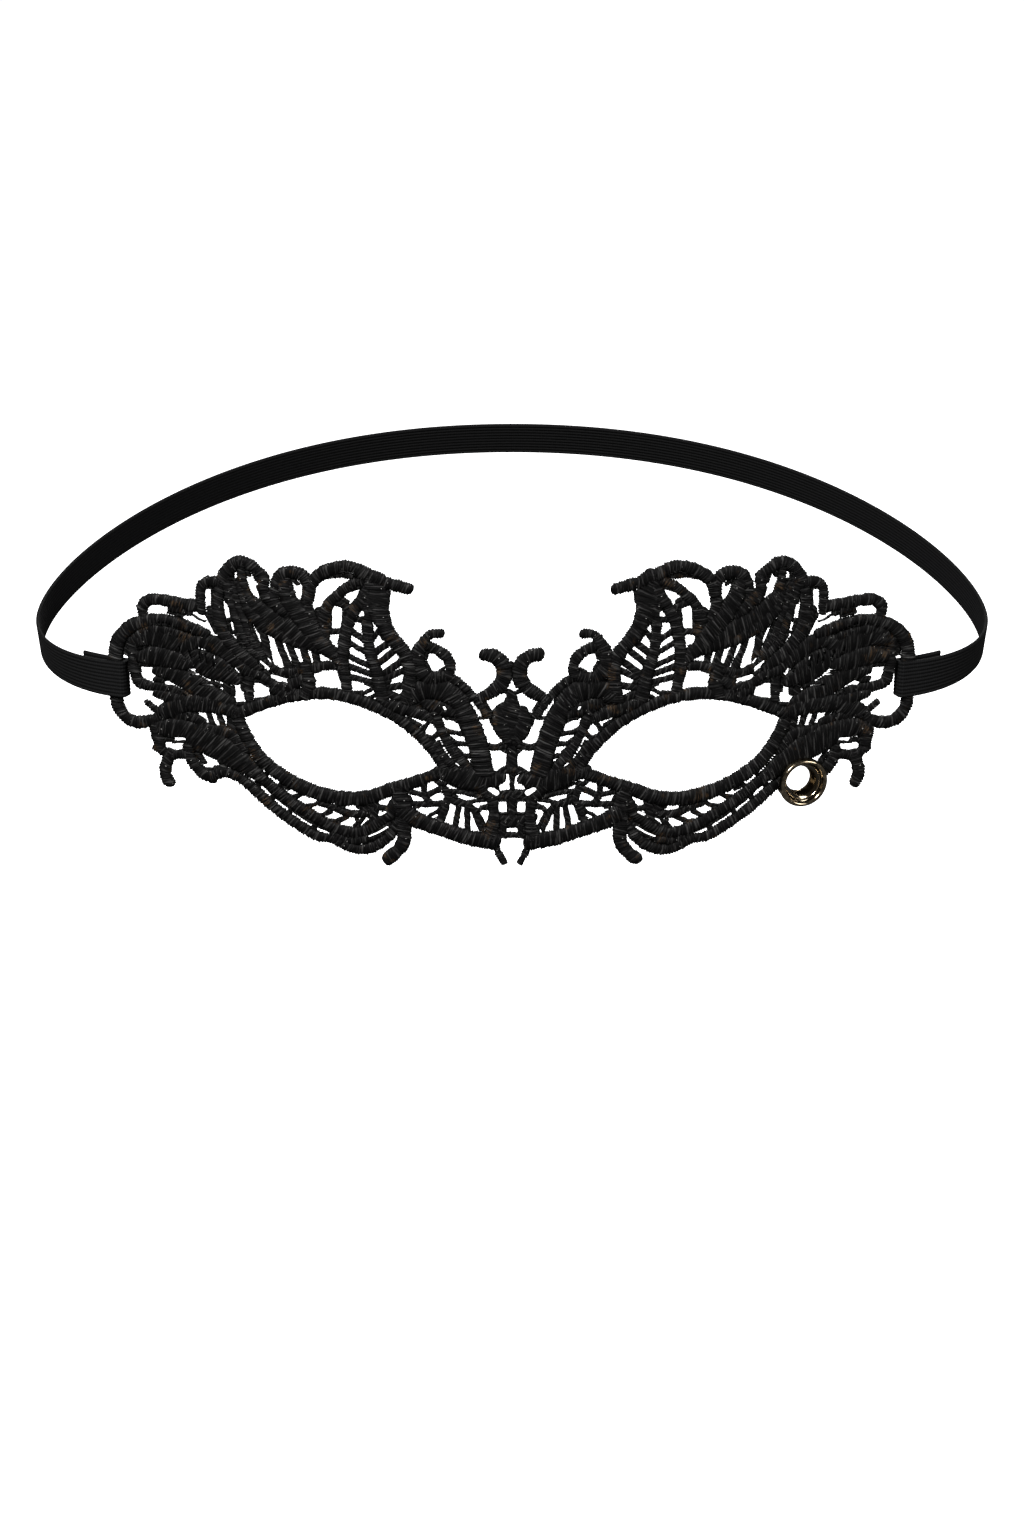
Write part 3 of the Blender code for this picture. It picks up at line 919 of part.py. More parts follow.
def build_strap(collection):
    """A flat band swept along its route, mirrored at the middle of the back."""
    slot = SlotFrame()
    fold = fold_route(slot)
    outer, lean = loop_route(slot)
    hem, used = hem_route(slot, np.vstack((fold[-1], outer)))
    hem_lean = np.concatenate(((0.0,), lean))[used]
    route = np.vstack((hem[::-1], fold, outer))
    leans = np.concatenate((hem_lean[::-1], np.zeros(len(fold)), lean))
    rows = []
    for point, angle in zip(route, leans):
        aside = np.array((0.0, -math.sin(angle), math.cos(angle))) * STRAP_WIDTH / 2
        rows.append((tuple(point - aside), tuple(point + aside)))
    mesh = bpy.data.meshes.new("strap")
    faces = [(2 * i, 2 * i + 2, 2 * i + 3, 2 * i + 1) for i in range(len(rows) - 1)]
    mesh.from_pydata([corner for row in rows for corner in row], [], faces)
    material = plain_material("black_elastic", (0.015, 0.015, 0.016), 0.8)
    strap = new_object("strap", mesh, material, collection)
    mirror = strap.modifiers.new("both_sides", "MIRROR")
    mirror.use_axis = (True, False, False)
    mirror.merge_threshold = SEAM_REACH
    solidify = strap.modifiers.new("band", "SOLIDIFY")
    solidify.thickness = STRAP_THICKNESS
    solidify.offset = 0.0
    solidify.use_even_offset = True
    return strap


def main():
    for obj in list(bpy.data.objects):
        bpy.data.objects.remove(obj)
    parts = bpy.data.collections.new("lace_eye_mask")
    cutters = bpy.data.collections.new("cutters")
    bpy.context.scene.collection.children.link(parts)
    bpy.context.scene.collection.children.link(cutters)
    build_lace(parts, eyelet_cutter(cutters))
    build_strap(parts)
    build_eyelet(parts)


main()
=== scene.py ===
"""A black guipure lace half mask, its ribbed elastic strap and its brass eyelet.

Laid out as an add-on and run as a script. Lengths are in metres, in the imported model's frame:
the origin is the nose bridge on the back of the lace, +X to the right as seen from the front,
-Y towards the viewer and +Z up.
"""

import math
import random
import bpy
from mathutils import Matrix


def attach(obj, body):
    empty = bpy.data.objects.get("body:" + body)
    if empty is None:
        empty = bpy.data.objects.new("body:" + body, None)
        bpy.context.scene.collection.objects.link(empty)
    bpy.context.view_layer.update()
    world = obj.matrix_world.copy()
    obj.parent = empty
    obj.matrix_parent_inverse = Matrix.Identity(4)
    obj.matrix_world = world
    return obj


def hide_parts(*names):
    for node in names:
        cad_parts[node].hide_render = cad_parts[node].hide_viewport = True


bl_info = {
    "name": "Lace Eye Mask",
    "version": (1, 0, 0),
    "blender": (4, 5, 0),
    "location": "View3D > Sidebar > Lace Mask",
    "description": "Sews a black lace half mask with an elastic strap and an eyelet",
    "category": "Object",
}

import bmesh
import bpy
import numpy as np
from bpy.props import FloatProperty, FloatVectorProperty, IntProperty, PointerProperty
from bpy.types import Operator, Panel, PropertyGroup
from mathutils import Matrix, Vector

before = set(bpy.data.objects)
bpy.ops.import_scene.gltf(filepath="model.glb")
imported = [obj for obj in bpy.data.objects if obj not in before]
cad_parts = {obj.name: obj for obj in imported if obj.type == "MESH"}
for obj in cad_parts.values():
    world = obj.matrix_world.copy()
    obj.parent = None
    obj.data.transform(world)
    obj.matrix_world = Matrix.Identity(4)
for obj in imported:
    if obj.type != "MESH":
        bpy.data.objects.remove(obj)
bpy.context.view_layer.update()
BODY = "root"

MM = 0.001
FIT_GAP = 0.0003  # between pieces that lie against each other

# How each kind of strand is worked. Columns: sides of its section, base and crest as shares of
# a cord's thickness, slant of the threads as a share of the half width, relief as a share
STYLES = {
    "cord": (12, 0.00, 1.00, 0.18, 1.00),
    "tail": (12, 0.00, 1.00, 0.18, 1.00),
    "leaf": (18, 0.02, 0.98, 0.30, 0.75),
    "bar": (8, 0.14, 0.66, 0.70, 0.60),
    "filling": (8, 0.08, 0.70, 0.50, 0.50),
}
THREAD_ROUND = (0.0, 0.9, 0.9)  # height across one turn of thread, ring by ring
SLACK = 0.6  # how unevenly the turns lie, as a share of the relief
LIFTS = 5  # heights at which crossing strands lie over each other
LIFT_STEP = 0.00007
ROUTE_STEPS = 12  # straight pieces between two chosen points of a strand
SLIT_STEPS = 4
SLIT_END_STEPS = 6  # straight pieces round the end of a slit
SLIT_REACH = 3  # how far a slit's cutter stands out, in thicknesses of a cord
CENTRE_LINE = 0.0001  # a strand within this of the middle is made once

TIP_LEAST = 0.03  # square of a strand's width at its tip, as a share of the full width
SIDE_FULLNESS = 0.85  # below 1 squares a strand's section off, at its sides and its crest
CREST_FULLNESS = 0.75
# How flat a narrow strand may get, as a share of its kind's height
LEAST_PLUMP = {"cord": 0.55, "tail": 0.55, "leaf": 0.6, "bar": 1.0, "filling": 1.0}
BORE_STEPS = 48
BORE_MARGIN = 1.2  # strands within this many radii of the eyelet's axis are bored
BORE_LENGTH = 8  # in thicknesses of a cord
THREADS = "threads"  # the name of the map that says where a corner lies on its strand
FINE_TURNS = 1.3  # scale of the wave that draws single filaments

# How the strap's curve is drawn, as shares of the stretch beside it
STRAP_SLOT = "strap_slot"
LEAVING_SHARE = 0.55
START_PULL = 0.10
SIDE_PULL = 0.89
SIDE_PULL_BACK = 0.31
BACK_PULL = 0.67
FOLD_STEPS = 9
FRONT_STEPS = 36
REAR_STEPS = 120
STRAP_STEP = 0.0008
LEAST_STEP = 0.00002
FINE_REACH = 0.01  # beyond the hem, every point of the strap's curve is kept this far
RIB_STEPS = 4
RIB_FULLNESS = 0.6  # below 1 squares a rib off
RIB_ROOT = 0.62  # thickness between two ribs, as a share of the whole
STITCH_LENGTH = 0.55  # in millimetres, along a rib

EYELET_STEPS = 128
RIM_STEPS = 17
BEAD_STEPS = 7
BEAD_WIDTH = 0.0004
BEAD_HEIGHT = 0.35  # of the rim's roll
FUNNEL_CURVE = 1.6  # above 1, the funnel closes more towards its narrow end
ROLL_STEP = 0.28  # height of a roll's edge, as a share of the roll
SHARP_EDGE = math.radians(50)

# Rows of pinholes between threads. Columns: holes, route on the chart
PINHOLES = (
    (7, ((86.6, 43.0), (84.0, 43.2), (81.2, 42.0))),
    (7, ((17.2, 8.9), (16.2, 6.2), (15.0, 3.9))),
    (3, ((81.6, 20.3), (80.1, 19.3))),
    (2, ((79.9, 13.0), (78.8, 13.1))),
    (1, ((86.9, 11.5), (86.8, 11.5))),
)
PINHOLE_WIDTH = 0.15  # of a cord's width
PINHOLE_LENGTH = 0.2  # on the chart

BLACK = (0.0, 0.0, 0.0)
WHITE = (1.0, 1.0, 1.0)

FLOOR_SIDES = 96
ROOM_LIGHT = 0.10  # what the white walls give, and how bright they are seen
ROOM_SEEN = 1.0
FLOOR_GLOW = 0.95
# The studio lights, turned to the nose bridge. Columns: name, place, size, power in watts
LIGHTS = (
    ("key_light", (-0.9, -1.1, 1.5), 0.7, 60.0),
    ("fill_light", (1.3, -0.9, 0.7), 0.9, 16.0),
    ("rim_light", (0.2, 1.4, 1.2), 0.8, 30.0),
)

# The strands of the right half, seen from the front, one row each. The lace is the same on both
# sides. A cord is a round padded line, a leaf swells, a tail ends free and a bar is thin netting.
# Widths are shares of the cord's width at the start, the middle and the end. Route points are
# given in hundredths of half the mask's width across and of its height up.
# Columns: name, kind, widths, route
STRANDS = (
    ("lid_upper", "cord", (1.00, 0.96, 0.92), ((67.8, 14.4), (61.3, 18.5), (54.2, 22.0),
        (47.2, 23.7), (40.5, 23.3), (34.2, 20.9), (28.1, 17.1), (23.5, 12.5), (19.7, 7.3),
        (17.5, 3.1), (16.0, -0.6))),
    ("lid_lower", "cord", (0.92, 1.17, 0.83), ((67.5, 14.1), (65.7, 8.1), (63.4, 2.7),
        (60.5, -1.8), (56.0, -5.9), (51.1, -9.1), (46.1, -10.9), (40.4, -11.7), (34.9, -10.7),
        (29.4, -7.6), (24.4, -5.2), (20.0, -2.8), (16.0, -0.6))),
    ("corner_pad", "leaf", (1.00, 1.92, 1.00), ((18.0, -1.0), (13.8, -1.9), (9.7, -3.5),
        (6.3, -4.1), (2.8, -3.1))),
    ("nose_arc", "cord", (1.00, 0.79, 1.17), ((7.2, -6.2), (5.0, -10.0), (4.4, -14.5),
        (4.6, -18.6), (5.3, -23.5))),
    ("nose_foot", "cord", (1.50, 1.21, 1.42), ((26.1, -15.7), (22.6, -18.3), (16.2, -21.2),
        (10.8, -23.5), (4.8, -24.7))),
    ("nose_tail", "tail", (0.83, 0.50, 0.46), ((4.6, -23.5), (3.6, -28.0), (2.0, -32.2))),
    ("nose_stem", "cord", (1.00, 1.33, 1.17), ((27.9, -7.0), (27.0, -11.7), (26.6, -16.9),
        (26.6, -21.5))),
    ("nose_curl", "tail", (1.17, 1.00, 1.04), ((26.7, -20.1), (26.6, -25.0), (28.1, -28.7),
        (30.6, -31.8))),
    ("fan_rail_top", "bar", (0.42, 0.42, 0.42), ((25.2, -8.2), (21.5, -9.1), (18.6, -7.6),
        (16.3, -5.4))),
    ("fan_post", "bar", (0.33, 0.33, 0.33), ((21.7, -4.9), (21.5, -9.1), (20.1, -12.4))),
    ("fan_rail_low", "bar", (0.42, 0.50, 0.50), ((25.5, -12.4), (20.6, -12.5), (15.6, -11.8))),
    ("fan_foot", "bar", (0.33, 0.50, 0.50), ((15.9, -12.3), (17.6, -15.1), (20.6, -17.3))),
    ("fan_side", "cord", (0.58, 0.50, 0.50), ((16.1, -7.1), (15.6, -10.6), (17.1, -15.1),
        (17.9, -18.9))),
    ("fan_back_bar", "bar", (0.42, 0.42, 0.50), ((16.6, -7.8), (12.6, -7.9), (7.7, -9.3))),
    ("fan_back_arc", "bar", (0.50, 0.58, 0.50), ((15.9, -10.2), (12.9, -11.7), (10.5, -12.1))),
    ("fan_back_tip", "bar", (0.42, 0.33, 0.42), ((10.9, -11.8), (8.5, -10.9), (5.5, -10.3))),
    ("fan_toe", "bar", (0.42, 0.38, 0.67), ((10.7, -12.7), (8.5, -14.3), (7.3, -13.3),
        (5.3, -12.7))),
    ("ray_1", "bar", (0.50, 0.50, 0.50), ((12.9, -11.9), (14.0, -20.2))),
    ("ray_2", "bar", (0.50, 0.50, 0.50), ((11.0, -12.5), (10.9, -21.2))),
    ("ray_3", "bar", (0.42, 0.42, 0.42), ((10.0, -12.8), (7.5, -20.8))),
    ("under_mid", "cord", (0.83, 0.88, 1.00), ((68.0, -1.2), (63.5, -5.4), (59.8, -9.0),
        (55.6, -13.3), (51.6, -16.7), (47.4, -19.8), (42.6, -22.7), (38.1, -23.3), (33.8, -20.5),
        (30.3, -16.1), (28.2, -11.8))),
    ("under_outer", "cord", (0.83, 0.88, 0.75), ((73.3, -5.6), (68.2, -6.9), (64.2, -10.6),
        (60.5, -15.0), (56.5, -19.0), (52.5, -22.4), (48.1, -25.5), (43.7, -25.9))),
    ("belly_outer", "cord", (0.75, 0.88, 0.75), ((44.5, -25.8), (41.2, -28.0), (37.7, -29.1),
        (33.9, -27.7), (30.6, -24.3), (28.3, -19.8))),
    ("belly_inner", "cord", (0.58, 0.67, 0.50), ((44.2, -24.6), (40.2, -26.1), (36.7, -25.5),
        (33.1, -23.3), (30.1, -19.9))),
    ("under_vein", "bar", (0.50, 0.67, 0.38), ((47.0, -14.0), (43.5, -15.2), (40.0, -16.8),
        (36.0, -16.3), (33.0, -14.3), (29.5, -14.7))),
    ("under_bar_1", "bar", (0.33, 0.33, 0.33), ((59.9, -3.6), (61.5, -7.6))),
    ("under_bar_2", "bar", (0.33, 0.42, 0.33), ((56.4, -7.3), (58.3, -10.7))),
    ("under_bar_3", "bar", (0.33, 0.33, 0.33), ((51.5, -11.0), (54.8, -14.1))),
    ("under_bar_4", "bar", (0.33, 0.33, 0.33), ((46.5, -12.9), (51.4, -16.5))),
    ("under_bar_5", "bar", (0.33, 0.33, 0.33), ((43.0, -14.3), (47.4, -18.6))),
    ("under_bar_6", "bar", (0.33, 0.33, 0.33), ((39.8, -16.8), (43.6, -21.0))),
    ("under_bar_7", "bar", (0.33, 0.33, 0.33), ((35.8, -16.5), (38.6, -22.0))),
    ("under_bar_8", "bar", (0.42, 0.42, 0.42), ((42.4, -12.5), (43.5, -15.7))),
    ("under_bar_9", "bar", (1.17, 1.00, 0.83), ((35.4, -12.3), (35.5, -16.5))),
    ("under_bar_10", "bar", (0.75, 0.75, 0.75), ((33.5, -13.2), (34.1, -18.5))),
    ("slot_bar_1", "bar", (0.42, 0.50, 0.42), ((62.3, -7.7), (63.7, -11.4))),
    ("slot_bar_2", "bar", (0.50, 0.50, 0.50), ((58.3, -11.7), (60.5, -15.2))),
    ("slot_bar_3", "bar", (0.42, 0.42, 0.42), ((54.1, -15.4), (55.7, -19.5))),
    ("slot_bar_4", "bar", (0.33, 0.33, 0.33), ((48.1, -20.0), (49.3, -24.7))),
    ("end_scallop", "cord", (0.83, 1.08, 0.92), ((74.5, 40.9), (80.6, 43.3), (86.2, 43.9),
        (91.0, 42.4), (94.5, 39.7), (97.2, 35.3), (98.1, 30.8), (98.2, 25.3), (98.6, 17.6),
        (98.3, 12.6), (96.4, 9.1), (93.3, 7.9), (89.0, 9.4))),
    ("end_tie", "cord", (0.83, 0.92, 0.83), ((93.6, 36.3), (93.6, 30.5), (93.4, 25.4),
        (92.4, 21.8), (89.5, 20.8))),
    ("end_barb", "tail", (0.67, 0.58, 0.42), ((87.0, 11.6), (89.0, 13.5), (90.8, 15.3))),
    ("scallop_2", "cord", (0.75, 0.92, 1.00), ((90.1, 43.5), (90.5, 47.5), (88.8, 50.1),
        (85.7, 50.7), (81.6, 50.2), (76.5, 49.7))),
    ("scallop_2_fill", "cord", (0.50, 0.67, 0.42), ((83.2, 48.2), (80.6, 48.0), (78.1, 47.2))),
    ("scallop_3", "cord", (0.67, 0.75, 0.83), ((75.3, 48.2), (75.4, 52.1), (75.1, 56.1),
        (73.4, 58.3), (70.4, 58.3))),
    ("scallop_3_root", "leaf", (0.67, 0.83, 0.42), ((73.0, 49.1), (71.8, 45.9), (70.4, 41.4))),
    ("scallop_4", "cord", (0.75, 1.00, 0.75), ((71.4, 50.0), (70.5, 56.0), (69.0, 61.1),
        (66.4, 64.8), (63.9, 65.4), (61.7, 63.6), (60.6, 60.3))),
    ("scallop_4_fill", "cord", (0.58, 0.67, 0.67), ((68.3, 60.8), (68.2, 57.6), (67.0, 54.4))),
    ("scallop_4_post", "cord", (0.67, 0.67, 0.67), ((64.7, 65.1), (64.7, 60.2), (63.5, 55.1))),
    ("scallop_4_side", "cord", (0.75, 0.83, 0.83), ((61.5, 63.8), (59.5, 61.4), (59.6, 57.4),
        (58.1, 53.3))),
    ("scallop_5", "cord", (0.75, 1.00, 0.83), ((56.8, 53.4), (56.5, 58.4), (55.1, 62.1),
        (52.7, 63.2), (50.2, 62.4), (48.6, 59.3), (48.9, 54.7), (50.0, 50.7))),
    ("scallop_5_fill", "cord", (0.58, 0.75, 0.50), ((53.8, 61.2), (53.3, 57.6), (52.3, 53.8))),
    ("notch_root", "cord", (0.83, 1.00, 0.83), ((58.0, 55.9), (56.6, 52.4), (54.2, 49.4))),
    ("notch_root_2", "cord", (0.75, 0.83, 0.67), ((49.2, 54.7), (48.7, 51.5), (47.4, 47.9))),
    ("scallop_6", "cord", (0.83, 1.00, 1.00), ((48.4, 56.7), (47.6, 60.2), (45.3, 63.4),
        (41.7, 65.5), (38.0, 65.7), (34.7, 63.9), (31.4, 62.3))),
    ("wing_tip", "tail", (1.17, 0.92, 0.83), ((32.3, 61.6), (28.5, 60.7), (26.1, 59.9),
        (24.6, 59.4))),
    ("wing_inner", "cord", (0.50, 0.50, 0.50), ((46.3, 61.7), (42.4, 63.1), (38.6, 63.2),
        (35.7, 62.4))),
    ("wing_rib", "cord", (1.00, 0.75, 0.75), ((45.2, 48.4), (44.1, 52.8), (41.6, 56.5),
        (38.4, 60.0), (35.0, 61.8))),
    ("sail_luff_top", "leaf", (1.33, 1.83, 1.17), ((33.3, 62.9), (32.2, 57.4), (32.0, 52.5),
        (30.6, 47.4))),
    ("sail_luff", "cord", (1.25, 1.08, 1.00), ((31.7, 53.8), (30.6, 48.0), (28.7, 43.5),
        (26.4, 39.7), (24.7, 35.8), (24.5, 29.8), (25.3, 23.4))),
    ("sail_leech", "cord", (1.00, 0.92, 0.83), ((33.6, 60.3), (35.6, 55.6), (37.6, 51.9),
        (39.2, 47.5), (40.2, 41.5), (40.7, 34.9), (40.1, 28.2), (39.8, 23.2))),
    ("sail_midrib", "cord", (0.75, 0.83, 1.08), ((34.6, 58.3), (34.5, 51.1), (34.5, 44.5),
        (34.0, 37.9), (32.5, 31.4), (31.4, 23.8))),
    ("sail_web_1", "bar", (0.83, 0.75, 0.75), ((37.0, 53.6), (34.4, 51.4))),
    ("sail_web_1b", "bar", (0.50, 0.50, 0.50), ((38.8, 49.2), (34.5, 48.5))),
    ("sail_web_2", "bar", (0.50, 0.50, 0.50), ((39.4, 45.9), (34.3, 41.2))),
    ("sail_web_3", "bar", (0.54, 0.42, 0.38), ((40.2, 41.9), (34.2, 37.3))),
    ("sail_web_4", "bar", (0.50, 0.46, 0.42), ((40.5, 37.2), (32.8, 32.7))),
    ("sail_web_5", "bar", (0.50, 0.50, 0.50), ((40.3, 33.7), (32.1, 30.1))),
    ("sail_web_6", "bar", (0.50, 0.50, 0.50), ((40.2, 30.1), (31.9, 27.8))),
    ("sail_web_7", "bar", (0.33, 0.33, 0.33), ((38.3, 22.7), (32.9, 26.7))),
    ("sail_web_8", "bar", (0.29, 0.29, 0.29), ((36.4, 21.6), (31.9, 24.7))),
    ("sail_web_9", "bar", (0.33, 0.42, 0.42), ((30.9, 25.5), (31.0, 20.4))),
    ("sail_web_r0", "bar", (0.42, 0.42, 0.42), ((33.6, 42.3), (31.6, 46.0))),
    ("sail_web_r1", "bar", (0.58, 0.58, 0.58), ((33.2, 37.8), (29.7, 41.5))),
    ("sail_web_r2", "bar", (0.54, 0.54, 0.54), ((32.3, 34.4), (27.9, 39.4))),
    ("sail_web_r3", "bar", (0.58, 0.58, 0.58), ((31.6, 30.4), (26.2, 35.9))),
    ("sail_web_r4", "bar", (0.54, 0.54, 0.54), ((31.4, 29.1), (25.5, 32.9))),
    ("sail_web_r5", "bar", (0.58, 0.58, 0.58), ((31.2, 26.5), (25.1, 27.8))),
    ("sail_web_r6", "bar", (0.67, 0.67, 0.67), ((30.9, 25.3), (27.1, 23.2))),
    ("wing_web_1", "bar", (0.58, 0.58, 0.58), ((42.4, 54.5), (38.5, 52.5))),
    ("wing_post", "cord", (0.75, 0.75, 0.75), ((45.9, 51.0), (44.9, 45.2), (45.3, 40.5),
        (44.4, 37.3))),
    ("wing_web_2", "bar", (0.50, 0.50, 0.50), ((45.0, 44.2), (40.1, 44.8))),
    ("post_foot", "cord", (0.75, 0.75, 0.75), ((43.2, 38.7), (42.0, 35.4), (40.6, 32.2))),
    ("ring_left", "cord", (0.92, 1.17, 0.83), ((20.8, 42.2), (22.4, 38.8), (22.4, 34.2),
        (19.9, 30.6), (15.8, 31.1))),
    ("ring_right", "cord", (0.75, 0.83, 0.75), ((20.3, 41.4), (17.4, 39.5), (15.3, 36.9),
        (14.7, 33.8), (15.1, 31.5))),
    ("ring_curl", "tail", (0.67, 0.67, 0.67), ((21.3, 40.5), (20.7, 43.3), (19.1, 44.9),
        (17.0, 45.1))),
    ("brow_edge", "cord", (0.75, 0.67, 0.67), ((15.8, 31.4), (12.9, 29.2), (10.4, 26.1),
        (8.1, 22.6), (5.9, 18.3))),
    ("brow_head", "cord", (1.17, 1.83, 1.33), ((25.1, 23.1), (21.2, 26.6), (17.3, 26.7),
        (13.7, 23.8), (11.0, 18.9))),
    ("brow_root", "leaf", (0.67, 1.08, 0.50), ((31.0, 21.8), (27.1, 20.3), (23.2, 18.8),
        (19.6, 16.3))),
    ("brow_back", "cord", (1.17, 1.62, 1.50), ((14.9, 25.5), (12.2, 21.2), (10.1, 15.5),
        (8.8, 10.5), (7.9, 6.1), (6.7, -0.7))),
    ("brow_front", "cord", (0.67, 0.67, 0.75), ((24.6, 21.1), (21.7, 19.0), (19.1, 16.8),
        (17.0, 12.8), (15.2, 7.6), (13.1, 2.9), (11.1, -0.8))),
    ("brow_fill", "cord", (0.67, 0.75, 0.75), ((21.2, 21.9), (18.6, 19.0), (17.2, 13.6),
        (15.1, 8.3), (12.8, 3.9), (10.4, 0.2))),
    ("brow_fill_2", "leaf", (0.67, 1.17, 0.67), ((21.2, 22.6), (17.3, 20.7), (13.5, 18.8))),
    ("brow_web_1", "bar", (0.33, 0.33, 0.33), ((22.5, 12.4), (19.8, 15.9))),
    ("brow_web_2", "bar", (0.33, 0.33, 0.33), ((20.4, 8.4), (17.7, 11.9))),
    ("brow_web_3", "bar", (0.42, 0.42, 0.42), ((17.4, 18.0), (13.0, 17.1))),
    ("brow_web_4", "bar", (0.33, 0.33, 0.33), ((15.9, 12.2), (10.1, 12.0))),
    ("brow_web_5", "bar", (0.42, 0.42, 0.42), ((14.5, 8.5), (8.7, 8.4))),
    ("brow_web_6", "bar", (0.42, 0.42, 0.42), ((12.8, 4.6), (7.7, 4.2))),
    ("brow_under", "cord", (0.75, 0.75, 0.75), ((18.9, 8.2), (16.0, 3.5), (13.1, -0.2))),
    ("centre_curl", "tail", (1.00, 1.17, 0.75), ((6.4, 38.4), (4.4, 37.9), (2.5, 35.8),
        (1.8, 32.6), (2.5, 29.0), (5.0, 26.0), (8.1, 23.6))),
    ("centre_bar_1", "bar", (0.33, 0.33, 0.33), ((2.8, 26.7), (0.0, 25.3))),
    ("centre_bar_2", "bar", (0.42, 0.42, 0.42), ((6.4, 18.3), (3.0, 18.3))),
    ("centre_bar_3", "bar", (0.33, 0.42, 0.42), ((6.7, 7.4), (3.3, 7.3), (0.0, 8.8))),
    ("centre_bar_4", "bar", (0.42, 0.42, 0.50), ((5.3, -1.7), (2.8, -1.2), (0.0, 0.0))),
    ("centre_bar_6", "bar", (0.33, 0.50, 0.67), ((3.6, -4.5), (3.3, -7.9), (0.0, -8.1))),
    ("centre_bar_7", "bar", (0.50, 0.50, 0.58), ((4.8, -10.7), (2.3, -9.6), (0.0, -8.9))),
    ("centre_bar_8", "bar", (1.17, 1.17, 1.17), ((4.3, -17.6), (0.0, -17.9))),
    ("centre_bar_9", "bar", (0.50, 0.50, 0.50), ((3.8, -22.8), (0.0, -22.6))),
    ("centre_stem_top", "bar", (0.92, 0.92, 0.92), ((0.0, 25.0), (0.0, 21.0))),
    ("centre_stem", "bar", (0.92, 0.92, 1.00), ((0.0, 10.2), (0.0, 0.0))),
    ("centre_stem_low", "bar", (0.75, 0.42, 0.42), ((0.0, 0.0), (0.0, -4.1), (0.0, -9.6))),
    ("centre_post", "bar", (0.67, 0.67, 0.67), ((0.0, -9.6), (0.0, -17.2))),
    ("medal_side", "leaf", (0.67, 1.33, 0.67), ((2.8, 20.3), (2.8, 15.6), (0.9, 9.5))),
    ("plume_5", "leaf", (0.83, 1.67, 0.75), ((54.7, 60.1), (53.6, 55.0), (51.0, 50.0),
        (48.0, 44.6), (44.9, 39.5), (42.3, 35.8))),
    ("plume_4", "leaf", (0.75, 1.92, 0.83), ((65.0, 55.9), (62.1, 51.9), (58.0, 47.7),
        (53.1, 43.8), (48.3, 40.6), (43.0, 37.4))),
    ("plume_4b", "leaf", (0.58, 1.17, 0.58), ((65.4, 57.2), (63.4, 50.5), (60.3, 46.2),
        (55.7, 42.3), (50.8, 39.1))),
    ("plume_3", "leaf", (0.67, 1.08, 1.17), ((70.5, 55.3), (71.0, 50.0), (70.4, 43.4),
        (68.0, 38.0), (64.6, 34.0), (61.9, 31.6))),
    ("plume_3b", "leaf", (0.50, 0.58, 0.67), ((66.9, 57.4), (65.9, 51.2), (64.5, 46.1),
        (63.4, 40.9), (60.8, 35.8))),
    ("plume_3c", "leaf", (0.67, 0.62, 0.67), ((68.6, 57.8), (67.8, 52.3), (66.3, 45.9),
        (64.2, 39.1), (60.9, 34.1))),
    ("plume_2", "leaf", (0.75, 1.58, 1.00), ((79.0, 37.7), (74.9, 38.2), (70.4, 36.1),
        (66.4, 32.2), (63.3, 28.1))),
    ("plume_2b", "leaf", (1.00, 2.33, 1.00), ((79.6, 34.2), (75.6, 31.4), (71.1, 28.6),
        (67.4, 26.0))),
    ("plume_1", "leaf", (0.83, 2.00, 0.83), ((92.0, 35.8), (88.5, 38.0), (84.1, 37.6),
        (80.1, 36.2), (76.4, 38.0))),
    ("plume_1b", "cord", (0.67, 0.83, 0.67), ((93.6, 35.6), (89.2, 40.3), (84.0, 40.7),
        (78.9, 39.0))),
    ("lower_wing_1", "leaf", (1.00, 1.75, 1.17), ((91.7, 30.8), (87.5, 31.7), (83.4, 31.0),
        (79.3, 29.9))),
    ("lower_wing_2", "leaf", (0.83, 1.83, 1.33), ((87.7, 26.6), (84.6, 26.4), (80.5, 24.9),
        (77.0, 22.4), (73.5, 20.1), (69.9, 18.2))),
    ("lower_wing_2b", "leaf", (0.67, 0.75, 0.67), ((88.2, 21.2), (84.8, 20.9), (80.7, 19.5))),
    ("lower_wing_3", "leaf", (0.67, 1.50, 1.00), ((88.0, 18.7), (84.9, 18.1), (80.8, 17.0),
        (76.7, 16.9), (71.5, 17.0), (67.5, 15.1))),
    ("lower_wing_4", "leaf", (0.67, 1.50, 0.83), ((88.4, 10.3), (85.6, 13.2), (82.4, 15.1),
        (78.2, 17.4))),
    ("hip_leaf", "leaf", (1.17, 2.42, 1.00), ((88.0, 6.9), (82.7, 7.4), (77.1, 5.2), (71.0, 1.6),
        (66.0, -2.6), (62.0, -6.6))),
    ("hip_top", "leaf", (0.67, 1.00, 1.00), ((78.5, 9.8), (73.9, 8.1), (69.3, 7.3), (65.8, 2.6))),
    ("hip_edge", "cord", (0.83, 1.17, 0.83), ((88.8, 9.6), (88.2, 4.8), (87.9, 0.0))),
    ("hip_foot", "cord", (0.67, 0.75, 0.75), ((88.8, -0.2), (85.2, -2.0), (81.0, -1.0))),
    ("hip_tail", "tail", (0.92, 0.92, 1.00), ((85.2, -1.7), (86.3, -5.3), (86.8, -8.6),
        (86.0, -11.6))),
    ("hip_lobe", "cord", (0.83, 1.00, 0.83), ((80.3, 1.6), (79.7, -2.5), (77.7, -6.0),
        (75.2, -7.8), (72.3, -6.3))),
    ("hip_nub", "tail", (0.75, 0.75, 0.67), ((75.1, -6.4), (74.6, -9.2))),
